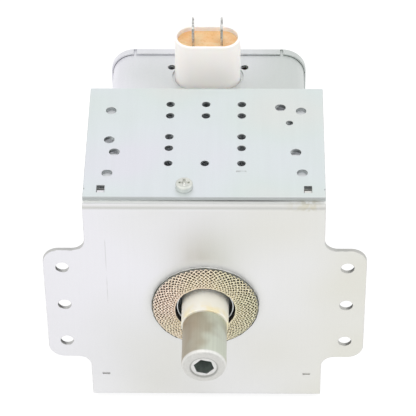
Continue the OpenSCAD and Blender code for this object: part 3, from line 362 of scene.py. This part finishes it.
def ceramicFinish(name, look):
    material, tree, shader, place = newFinish(name)
    grain = noise(tree, place, look["grainSize"], detail=3.0)
    colour = colourRamp(tree, noise(tree, place, look["patchSize"]), look["tints"])
    for mark in look["marks"]:
        colour = mixColour(tree, markMask(tree, place, mark), colour, (*mark["colour"], 1))
    setInputs(tree, shader, {
        "Base Color": colour, "Roughness": between(tree, grain, *look["roughness"]),
        "Subsurface Weight": look["subsurface"], "Subsurface Radius": look["subsurfaceReach"]})
    addBump(tree, shader, grain, look["bump"], look["bumpDepth"])
    return material


ferriteLook = {
    "tints": [(0.3, (0.045, 0.045, 0.05)), (0.6, (0.032, 0.032, 0.035)), (0.8, (0.07, 0.068, 0.066))],
    "patchSize": 5 * mm, "patchShare": 0.4, "grainSize": 0.45 * mm, "grainShare": 0.6,
    "roughness": (0.48, 0.70), "bump": 0.3, "bumpDepth": 0.08 * mm}


def ferriteFinish(name, look):
    material, tree, shader, place = newFinish(name)
    grain = noise(tree, place, look["grainSize"], detail=4.0)
    cloud = noise(tree, place, look["patchSize"], detail=3.0)
    speckled = calc(tree, "ADD", calc(tree, "MULTIPLY", grain, look["grainShare"]),
                    calc(tree, "MULTIPLY", cloud, look["patchShare"]))
    setInputs(tree, shader, {
        "Base Color": colourRamp(tree, speckled, look["tints"]),
        "Roughness": between(tree, grain, *look["roughness"])})
    addBump(tree, shader, grain, look["bump"], look["bumpDepth"])
    return material


cupPlasticLook = {
    "tints": [(0.3, (0.985, 0.936, 0.908)), (0.7, (0.972, 0.912, 0.874))], "patchSize": 12 * mm,
    "grainSize": 0.4 * mm, "roughness": (0.34, 0.46), "bump": 0.05, "bumpDepth": 0.04 * mm,
    "subsurface": 0.25, "subsurfaceReach": (1.8 * mm, 1.2 * mm, 0.8 * mm)}


def cupPlasticFinish(name, look):
    material, tree, shader, place = newFinish(name)
    cloud = noise(tree, place, look["patchSize"])
    grain = noise(tree, place, look["grainSize"])
    setInputs(tree, shader, {
        "Base Color": colourRamp(tree, cloud, look["tints"]),
        "Roughness": between(tree, grain, *look["roughness"]),
        "Subsurface Weight": look["subsurface"], "Subsurface Radius": look["subsurfaceReach"]})
    addBump(tree, shader, grain, look["bump"], look["bumpDepth"])
    return material


castResinLook = {
    "tints": [(0.3, (0.87, 0.49, 0.20)), (0.5, (0.90, 0.57, 0.27)), (0.72, (0.92, 0.68, 0.40))],
    "swirlSize": 5 * mm, "swirlStretch": (1, 1.6, 1), "grainSize": 0.8 * mm, "roughness": (0.22, 0.42),
    "bump": 0.25, "bumpDepth": 0.3 * mm, "coat": 0.2,
    "subsurface": 0.2, "subsurfaceReach": (2.0 * mm, 1.0 * mm, 0.5 * mm)}


def castResinFinish(name, look):
    material, tree, shader, place = newFinish(name)
    swirl = noise(tree, place, look["swirlSize"], detail=4.0, stretch=look["swirlStretch"])
    grain = noise(tree, place, look["grainSize"])
    setInputs(tree, shader, {
        "Base Color": colourRamp(tree, swirl, look["tints"]),
        "Roughness": between(tree, grain, *look["roughness"]), "Coat Weight": look["coat"],
        "Subsurface Weight": look["subsurface"], "Subsurface Radius": look["subsurfaceReach"]})
    addBump(tree, shader, swirl, look["bump"], look["bumpDepth"])
    return material


# The gasket's edge wire is painted dark as the shadow along its edge; the ring under the wires is painted
# shade, with a pale lip like the plate
gasketWireLook = {
    "tints": [(0.28, (0.93, 0.785, 0.675)), (0.5, (0.90, 0.81, 0.63)), (0.72, (0.81, 0.775, 0.575))],
    "patchSize": 14 * mm, "drift": 10.0, "streakSize": 0.5 * mm, "streakStretch": (1, 1, 1),
    "streakDepth": 0.18, "grainSize": 0.2 * mm, "grainDepth": 0.08, "roughness": (0.30, 0.46), "bump": 0.15,
    "metallic": 0.85,
    "marks": [{"ramps": [(fromAxis, gasketRim - 0.45, gasketRim - 0.35)],
               "colour": (0.10, 0.105, 0.085), "roughness": 0.5}]}
gasketShadeCoreLook = dict(gasketWireLook, tints=[(0.35, (0.045, 0.036, 0.03)), (0.65, (0.022, 0.018, 0.015))],
                      metallic=0.3, roughness=(0.6, 0.8),
                      marks=[{"ramps": [(fromAxis, gasketRim - 0.70, gasketRim - 0.55)],
                              "colour": (0.72, 0.72, 0.70)}])

finishes = {
    "yoke_zinc": metalFinish("brightZincFrame", frameZincLook),
    "box_zinc": metalFinish("satinZincCan", boxZincLook),
    "screw_steel": metalFinish("zincedScrew", screwSteelLook),
    "gasket_wire": metalFinish("gasketWire", gasketWireLook),
    "cap_nickel": metalFinish("drawnNickelCap", capNickelLook),
    "seal_metal": metalFinish("thinSealSheet", sealMetalLook),
    "white_ceramic": ceramicFinish("firedWhiteCeramic", ceramicLook),
    "copper": metalFinish("bareCopper", copperLook),
    "ferrite": ferriteFinish("groundFerrite", ferriteLook),
    "pole_iron": metalFinish("softPoleIron", poleIronLook),
    "cathode_metal": metalFinish("darkCathodeMetal", cathodeMetalLook),
    "fin_aluminium": metalFinish("rolledFinAluminium", finAluminiumLook),
    "cup_plastic": cupPlasticFinish("mouldedCupPlastic", cupPlasticLook),
    "cast_resin": castResinFinish("pouredResin", castResinLook),
    "tab_tin": metalFinish("tinnedBlade", tabTinLook),
}
# painted shade for the ring under the wires
gasketShadeCoreFinish = metalFinish("shadedGasketCore", gasketShadeCoreLook)
ownFinishes = {"flange_plate": metalFinish("brightZincPlate", plateZincLook),
               "exhaust_tube": metalFinish("tubeHoleShade", tubeHoleShadeLook)}


def finishOf(node):
    return ownFinishes.get(node, finishes[slotOf[node]])


for nodeName, node in nodes.items():
    node.data.materials.clear()
    node.data.materials.append(finishOf(nodeName))
print("finishes made:", len(finishes) + len(ownFinishes) + 1)


# Pieces that stand for CAD solids: the same form, with broken edges and even shading

def linkPiece(name, mesh):
    piece = bpy.data.objects.new(name, mesh)
    scene.collection.objects.link(piece)
    return piece


def asPlainMesh(piece):
    evaluated = piece.evaluated_get(bpy.context.evaluated_depsgraph_get())
    mesh = bpy.data.meshes.new_from_object(evaluated)
    piece.modifiers.clear()
    piece.data = mesh
    mesh.name = piece.name


edgeWork = {"mergeReach": 0.001 * mm, "flatAngle": math.radians(0.2), "brokenAngle": math.radians(30),
            "sharpAngle": math.radians(40), "sheetWidth": 0.14 * mm}


def evenNormals(piece):
    for polygon in piece.data.polygons:
        polygon.use_smooth = True
    piece.data.set_sharp_from_angle(angle=edgeWork["sharpAngle"])
    weighted = piece.modifiers.new("evenNormals", "WEIGHTED_NORMAL")
    weighted.keep_sharp = True
    asPlainMesh(piece)


def standsFor(piece, node, finish=None):
    piece.data.materials.clear()
    piece.data.materials.append(finish or finishOf(node))
    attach(piece, "root")
    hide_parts(node)


def mergedSolid(node):
    work = bmesh.new()
    work.from_mesh(nodes[node].data)
    bmesh.ops.remove_doubles(work, verts=work.verts, dist=edgeWork["mergeReach"])
    bmesh.ops.dissolve_limit(work, angle_limit=edgeWork["flatAngle"], verts=work.verts, edges=work.edges)
    return work


def workMesh(work, name):
    mesh = bpy.data.meshes.new(name)
    work.to_mesh(mesh)
    work.free()
    return mesh


def breakEdges(work, worn, width, segments=2, pick=None):
    edges = [edge for edge in work.edges
             if len(edge.link_faces) == 2 and edge.calc_face_angle() > edgeWork["brokenAngle"]]
    if pick:
        edges = [edge for edge in edges if pick(edge)]
    broken = bmesh.ops.bevel(work, geom=edges, offset=width, segments=segments, profile=0.5, affect="EDGES",
                             clamp_overlap=False)
    for face in broken["faces"]:
        face[worn] = 1.0


def refinedPiece(node, name, steps, isCut=None):
    work = mergedSolid(node)
    worn = work.faces.layers.float.new("wornEdge")
    for step in steps:
        breakEdges(work, worn, **step)
    mesh = workMesh(work, name)
    if isCut:
        cutEdge = mesh.attributes.new("cutEdge", "FLOAT", "FACE")
        for polygon, value in zip(mesh.polygons, cutEdge.data):
            value.value = 1.0 if isCut(polygon.center / mm, polygon.normal) else 0.0
    piece = linkPiece(name, mesh)
    evenNormals(piece)
    standsFor(piece, node)


# The folded sheets: their sheared edges and punched holes are duller than their rolled faces.
# First how far a cut face leans, then reaches in mm from the bend, the wall's front edge and the back.
sheared = {"sideways": 0.8, "edgeOn": 0.3, "plateBend": 2.5, "flapStart": 0.5, "wallDepth": 0.5,
           "backBend": 4.0, "backPlate": 2.0}


def plateIsCut(at, normal):
    if abs(normal.x) > sheared["sideways"]:
        return True
    if abs(at.z) > foldTop - sheared["plateBend"]:
        return at.y > wallFront - sheared["flapStart"] and abs(normal.z) < sheared["edgeOn"]
    return abs(normal.y) < sheared["edgeOn"]


def frameIsCut(at, normal):
    if abs(normal.x) > sheared["sideways"]:
        return True
    if abs(at.z) > foldTop - sheared["wallDepth"]:
        return at.y < wallBack - sheared["backBend"] and abs(normal.z) < sheared["edgeOn"]
    return at.y > wallBack - sheared["backPlate"] and abs(normal.y) < sheared["edgeOn"]


refinedPiece("flange_plate", "flangePlate", [{"width": edgeWork["sheetWidth"]}], plateIsCut)
refinedPiece("yoke_frame", "yokeFrame", [{"width": edgeWork["sheetWidth"]}], frameIsCut)

# Width of the broken edge of each other piece in mm, as stamping, drawing or firing leaves it
edgeWidths = {
    "yoke_screw": ("yokeScrew", 0.10),
    "filter_box": ("filterBox", 0.10), "filter_lid": ("filterLid", 0.10), "front_seal": ("frontSeal", 0.08),
    "antenna_ceramic": ("antennaCeramic", 0.30), "antenna_cap": ("antennaCap", 0.12),
    "terminal_tab_left": ("bladeLeft", 0.12), "terminal_tab_right": ("bladeRight", 0.12),
    "capacitor_flange": ("capacitorFlange", 0.10),
}
for node, (name, width) in edgeWidths.items():
    refinedPiece(node, name, [{"width": width * mm}])
print("edges broken on", len(edgeWidths) + 2, "pieces")


# Oval cup: a soft rim, sharper edges below

cup = {"rimWidth": 0.38 * mm, "rimSegments": 4, "rimReach": 0.01 * mm, "rimClear": 1 * mm,
       "edgeWidth": 0.12 * mm}
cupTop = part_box("capacitor_case")[1].z


def onRim(edge):
    return all(vert.co.z > cupTop - cup["rimReach"] for vert in edge.verts)


def belowRim(edge):
    return all(vert.co.z < cupTop - cup["rimClear"] for vert in edge.verts)


refinedPiece("capacitor_case", "capacitorCup",
             [{"width": cup["rimWidth"], "segments": cup["rimSegments"], "pick": onRim},
              {"width": cup["edgeWidth"], "pick": belowRim}])

# Poured resin: it climbs the cup's wall a little and sags in the middle

resin = {"climb": 0.55 * mm, "climbReach": 0.55 * mm, "sag": 0.12 * mm, "arcSteps": 20,
         "insets": [0.0, 0.12, 0.3, 0.6, 1.0, 1.6, 2.4, 3.4, 4.4]}  # rings of the surface, mm from the wall
resinLow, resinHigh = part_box("capacitor_resin")
resinMiddle = (resinLow + resinHigh) / 2
resinSize = resinHigh - resinLow


def ovalPoints(inset, height):
    radius = resinSize.y / 2 - inset
    reach = (resinSize.x - resinSize.y) / 2
    points = []
    for side, start in ((1, -90), (-1, 90)):
        for step in range(resin["arcSteps"] + 1):
            turn = math.radians(start + 180 * step / resin["arcSteps"])
            points.append(Vector((resinMiddle.x + side * reach + radius * math.cos(turn),
                                  resinMiddle.y + radius * math.sin(turn), height)))
    return points


def resinLevel(inset):
    climb = resin["climb"] * math.exp(-inset / resin["climbReach"])
    return resinHigh.z + climb - resin["sag"] * min(1.0, inset / resin["insets"][-1] / mm)


def resinMesh(name):
    work = bmesh.new()
    levels = [ovalPoints(0.0, resinLow.z)]
    levels += [ovalPoints(inset * mm, resinLevel(inset * mm)) for inset in resin["insets"]]
    rings = [[work.verts.new(point) for point in level] for level in levels]
    for outer, inner in zip(rings, rings[1:]):
        for here in range(len(outer)):
            there = (here + 1) % len(outer)
            work.faces.new((outer[here], outer[there], inner[there], inner[here]))
    work.faces.new(rings[-1])
    work.faces.new(list(reversed(rings[0])))
    bmesh.ops.recalc_face_normals(work, faces=work.faces)
    return workMesh(work, name)


resinPiece = linkPiece("pouredResin", resinMesh("pouredResin"))
evenNormals(resinPiece)
standsFor(resinPiece, "capacitor_resin")
print("cup and resin made")


# Woven wire gasket: two sets of wires spiral over the dome and pass over and under each other

gasket = {"wires": 65, "crossings": 12, "crossingSteps": 4, "edgeSteps": 96, "sides": 6,
          "wireRadius": 0.208 * mm, "sway": 0.17 * mm, "crestReach": 1.2 * mm, "edgeRise": 1.0 * mm,
          "edgeInset": 0.25 * mm, "rimStep": 0.36 * mm,
          "jitter": 0.62 * mm, "jitterSize": 1.5 * mm, "jitterShare": (1.0, 0.15, 1.0)}
noiseMiddle = (0.5, 0.5, 0.5)
gasketLow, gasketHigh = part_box("rf_gasket")
gasketOuter = gasketHigh.x
gasketBore = min(math.hypot(vert.co.x, vert.co.z) for vert in nodes["rf_gasket"].data.vertices)
crestRadius = gasketBore + gasket["crestReach"]
domeHeight = -gasketLow.y - gasket["edgeRise"]
domeRadius = ((gasketOuter - crestRadius) ** 2 + domeHeight ** 2) / (2 * domeHeight)


def domeDepth(radius):
    return gasketLow.y + domeRadius - math.sqrt(domeRadius ** 2 - (radius - crestRadius) ** 2)


def geometryTree(name, sizes):
    tree = bpy.data.node_groups.new(name, "GeometryNodeTree")
    tree.interface.new_socket(name="Geometry", in_out="INPUT", socket_type="NodeSocketGeometry")
    tree.interface.new_socket(name="Geometry", in_out="OUTPUT", socket_type="NodeSocketGeometry")
    sockets = {}
    for label, value in sizes.items():
        kind = "NodeSocketInt" if isinstance(value, int) else "NodeSocketFloat"
        sockets[label] = tree.interface.new_socket(name=label, in_out="INPUT", socket_type=kind).identifier
    return tree, addNode(tree, "NodeGroupInput").outputs, sockets


def seatDepth(tree, given, radius):  # depth of the wires' middle line on the dome
    offset = calc(tree, "SUBTRACT", radius, given["Crest Radius"])
    chord = calc(tree, "SUBTRACT", calc(tree, "MULTIPLY", given["Dome Radius"], given["Dome Radius"]),
                 calc(tree, "MULTIPLY", offset, offset))
    fall = calc(tree, "SUBTRACT", given["Dome Radius"], calc(tree, "SQRT", chord))
    seat = calc(tree, "ADD", given["Front"], calc(tree, "ADD", given["Wire Radius"], given["Sway"]))
    return calc(tree, "ADD", seat, fall)


def wireMesh(tree, given, path):
    profile = addNode(tree, "GeometryNodeCurvePrimitiveCircle",
                      {"Resolution": given["Sides"], "Radius": given["Wire Radius"]}).outputs[0]
    return addNode(tree, "GeometryNodeCurveToMesh",
                   {"Curve": path, "Profile Curve": profile, "Fill Caps": True}).outputs[0]


def edgeWire(tree, given, radius):
    ring = addNode(tree, "GeometryNodeCurvePrimitiveCircle",
                   {"Resolution": given["Edge Steps"], "Radius": radius}).outputs[0]
    shift = addNode(tree, "ShaderNodeCombineXYZ", {1: seatDepth(tree, given, radius)}).outputs[0]
    placed = addNode(tree, "GeometryNodeTransform",
                     {"Geometry": ring, "Translation": shift, "Rotation": (math.pi / 2, 0, 0)}).outputs[0]
    return wireMesh(tree, given, placed)


def spiralWires(tree, given, side):
    line = addNode(tree, "GeometryNodeCurvePrimitiveLine").outputs[0]
    count = calc(tree, "ADD", calc(tree, "MULTIPLY", given["Crossings"], given["Crossing Steps"]), 1.0)
    path = addNode(tree, "GeometryNodeResampleCurve", {"Curve": line, "Count": count}).outputs[0]
    along = addNode(tree, "GeometryNodeSplineParameter").outputs["Factor"]
    end = calc(tree, "SUBTRACT", given["Outer Radius"], given["Rim Step"])
    span = calc(tree, "SUBTRACT", end, given["Bore Radius"])
    radius = calc(tree, "ADD", given["Bore Radius"], calc(tree, "MULTIPLY", span, along))
    phase = calc(tree, "MULTIPLY", calc(tree, "MULTIPLY", given["Crossings"], math.pi), along)
    turn = calc(tree, "MULTIPLY", calc(tree, "DIVIDE", phase, given["Wires"]), side)
    lift = calc(tree, "MULTIPLY", calc(tree, "MULTIPLY", calc(tree, "COSINE", phase), given["Sway"]), side)
    depth = calc(tree, "SUBTRACT", seatDepth(tree, given, radius), lift)
    place = addNode(tree, "ShaderNodeCombineXYZ", {
        0: calc(tree, "MULTIPLY", radius, calc(tree, "COSINE", turn)), 1: depth,
        2: calc(tree, "MULTIPLY", radius, calc(tree, "SINE", turn))}).outputs[0]
    bent = addNode(tree, "GeometryNodeSetPosition", {"Geometry": path, "Position": place}).outputs[0]
    wire = wireMesh(tree, given, bent)
    points = addNode(tree, "GeometryNodePoints", {"Count": given["Wires"]}).outputs[0]
    index = addNode(tree, "GeometryNodeInputIndex").outputs[0]
    step = calc(tree, "DIVIDE", 2 * math.pi, given["Wires"])
    spin = addNode(tree, "ShaderNodeCombineXYZ", {1: calc(tree, "MULTIPLY", index, step)}).outputs[0]
    return addNode(tree, "GeometryNodeInstanceOnPoints",
                   {"Points": points, "Instance": wire, "Rotation": spin}).outputs[0]


def jittered(tree, given, solid):  # nudges the wires out of their even rows
    cloud = {"Scale": given["Jitter Scale"], "Detail": 1.0}
    drift = addNode(tree, "ShaderNodeTexNoise", cloud).outputs["Color"]
    for operation, amount in (("SUBTRACT", noiseMiddle), ("MULTIPLY", gasket["jitterShare"])):
        drift = addNode(tree, "ShaderNodeVectorMath", {0: drift, 1: amount}, operation=operation).outputs[0]
    drift = addNode(tree, "ShaderNodeVectorMath", {0: drift, "Scale": given["Jitter"]},
                    operation="SCALE").outputs[0]
    return addNode(tree, "GeometryNodeSetPosition", {"Geometry": solid, "Offset": drift}).outputs[0]


weaveSizes = {
    "Wires": gasket["wires"], "Crossings": gasket["crossings"], "Crossing Steps": gasket["crossingSteps"],
    "Edge Steps": gasket["edgeSteps"], "Sides": gasket["sides"],
    "Bore Radius": gasketBore + gasket["edgeInset"], "Outer Radius": gasketOuter - gasket["edgeInset"],
    "Crest Radius": crestRadius, "Dome Radius": domeRadius, "Front": gasketLow.y,
    "Wire Radius": gasket["wireRadius"], "Sway": gasket["sway"], "Rim Step": gasket["rimStep"],
    "Jitter": gasket["jitter"], "Jitter Scale": 1 / gasket["jitterSize"]}
weaveTree, given, weaveSockets = geometryTree("gasketWeave", weaveSizes)
joined = addNode(weaveTree, "GeometryNodeJoinGeometry")
for side in (1.0, -1.0):
    weaveTree.links.new(spiralWires(weaveTree, given, side), joined.inputs[0])
for edge in ("Bore Radius", "Outer Radius"):
    weaveTree.links.new(edgeWire(weaveTree, given, given[edge]), joined.inputs[0])
solid = addNode(weaveTree, "GeometryNodeRealizeInstances", {0: joined.outputs[0]}).outputs[0]
smooth = addNode(weaveTree, "GeometryNodeSetShadeSmooth", {0: jittered(weaveTree, given, solid)}).outputs[0]
painted = addNode(weaveTree, "GeometryNodeSetMaterial",
                  {0: smooth, "Material": finishes["gasket_wire"]}).outputs[0]
addNode(weaveTree, "NodeGroupOutput", {0: painted})
weave = linkPiece("gasketWeave", bpy.data.meshes.new("gasketWeave"))
weaving = weave.modifiers.new("weave", "NODES")
weaving.node_group = weaveTree
for label, value in weaveSizes.items():
    weaving[weaveSockets[label]] = value
asPlainMesh(weave)
standsFor(weave, "rf_gasket")

# The ring under the wires, a wire's depth below the dome, a dark ring of painted shade seen through the
# weave
core = {"steps": 96, "domeSteps": 10, "sink": 0.5 * mm, "inset": 0.4 * mm}


def turnedMesh(name, profile, steps):  # profile points are (radius, depth), closed
    work = bmesh.new()
    rings = []
    for step in range(steps):
        turn = 2 * math.pi * step / steps
        rings.append([work.verts.new((radius * math.cos(turn), depth, radius * math.sin(turn)))
                      for radius, depth in profile])
    for here, there in zip(rings, rings[1:] + rings[:1]):
        for point in range(len(profile)):
            following = (point + 1) % len(profile)
            work.faces.new((here[point], here[following], there[following], there[point]))
    bmesh.ops.recalc_face_normals(work, faces=work.faces)
    return workMesh(work, name)


coreEdge = gasketOuter - core["inset"]
coreProfile = [(gasketBore, gasketHigh.y), (coreEdge, gasketHigh.y)]
for step in range(core["domeSteps"] + 1):
    radius = coreEdge + (gasketBore - coreEdge) * step / core["domeSteps"]
    coreProfile.append((radius, domeDepth(radius) + core["sink"]))
corePiece = linkPiece("gasketShadeCore", turnedMesh("gasketShadeCore", coreProfile, core["steps"]))
evenNormals(corePiece)
standsFor(corePiece, "rf_gasket", gasketShadeCoreFinish)
print("gasket woven:", len(weave.data.polygons), "faces")


# Studio: pale floor and sky, soft lamps

studio = {"floorSize": 6.0, "skyLight": 1.12, "floorPaint": 0.85, "floorPaintSeen": 0.22, "floorGlow": 0.85}
white = (1, 1, 1, 1)


def seenDirectly(tree):
    rays = addNode(tree, "ShaderNodeLightPath").outputs
    seen = calc(tree, "MAXIMUM", rays["Is Camera Ray"], rays["Is Glossy Ray"])
    return calc(tree, "MAXIMUM", seen, rays["Is Transmission Ray"])


scene.view_settings.view_transform = "Standard"
sky = bpy.data.worlds.new("paleSky")
sky.use_nodes = True
scene.world = sky
skyStrength = between(sky.node_tree, seenDirectly(sky.node_tree), studio["skyLight"], 1.0, 0, 1)
setInputs(sky.node_tree, sky.node_tree.nodes["Background"], {"Color": white, "Strength": skyStrength})

floorFinish, tree, shader = newFinish("paleFloor")[:3]
seen = seenDirectly(tree)
paint = between(tree, seen, studio["floorPaint"], studio["floorPaintSeen"], 0, 1)
paintColour = addNode(tree, "ShaderNodeCombineColor", {0: paint, 1: paint, 2: paint}).outputs[0]
setInputs(tree, shader, {
    "Base Color": paintColour, "Roughness": 1.0, "Specular IOR Level": 0.0, "Emission Color": white,
    "Emission Strength": between(tree, seen, 0.0, studio["floorGlow"], 0, 1)})
half = studio["floorSize"] / 2
corners = [(x * half, y * half, cadBounds[0].z) for x, y in ((-1, -1), (1, -1), (1, 1), (-1, 1))]
floorMesh = bpy.data.meshes.new("floor")
floorMesh.from_pydata(corners, [], [(0, 1, 2, 3)])
floorMesh.materials.append(floorFinish)
linkPiece("floor", floorMesh)

lamps = {
    "keyLamp": {"at": (-0.55, -0.50, 0.85), "size": 1.80, "power": 2.2, "colour": (1.0, 0.985, 0.96)},
    "fillLamp": {"at": (0.85, -0.35, 0.75), "size": 1.40, "power": 1.4, "colour": (0.97, 0.985, 1.0)},
    "topLamp": {"at": (-0.15, -0.30, 1.05), "size": 1.60, "power": 1.0, "colour": (1.0, 1.0, 1.0)},
}
for name, lamp in lamps.items():
    light = bpy.data.lights.new(name, "AREA")
    light.size = lamp["size"]
    light.energy = lamp["power"]
    light.color = lamp["colour"]
    holder = bpy.data.objects.new(name, light)
    holder.location = lamp["at"]
    holder.rotation_euler = (-Vector(lamp["at"])).to_track_quat("-Z", "Y").to_euler()
    scene.collection.objects.link(holder)


# Camera: from the front and above, a long lens

shot = {"elevation": 43.0, "azimuth": 1.407, "roll": -0.760, "lens": 205.45, "distance": 808.22 * mm,
        "shiftRight": 0.922 * mm, "shiftUp": 33.008 * mm, "sensorWidth": 36.0, "nearest": 0.05,
        "farthest": 20.0}
tilt = math.radians(shot["elevation"])
swing = math.radians(shot["azimuth"])
back = Vector((math.sin(swing) * math.cos(tilt), -math.cos(swing) * math.cos(tilt), math.sin(tilt)))
level = (-back).cross(Vector((0, 0, 1))).normalized()
rolled = Matrix.Rotation(math.radians(shot["roll"]), 3, back)
right = rolled @ level
up = back.cross(right)
eye = right * shot["shiftRight"] + up * shot["shiftUp"] + back * shot["distance"]
lens = bpy.data.cameras.new("camera")
lens.lens = shot["lens"]
lens.sensor_width = shot["sensorWidth"]
lens.clip_start = shot["nearest"]
lens.clip_end = shot["farthest"]
camera = bpy.data.objects.new("camera", lens)
camera.matrix_world = Matrix((right, up, back)).transposed().to_4x4()
camera.location = eye
scene.collection.objects.link(camera)
scene.camera = camera
print("studio and camera set")
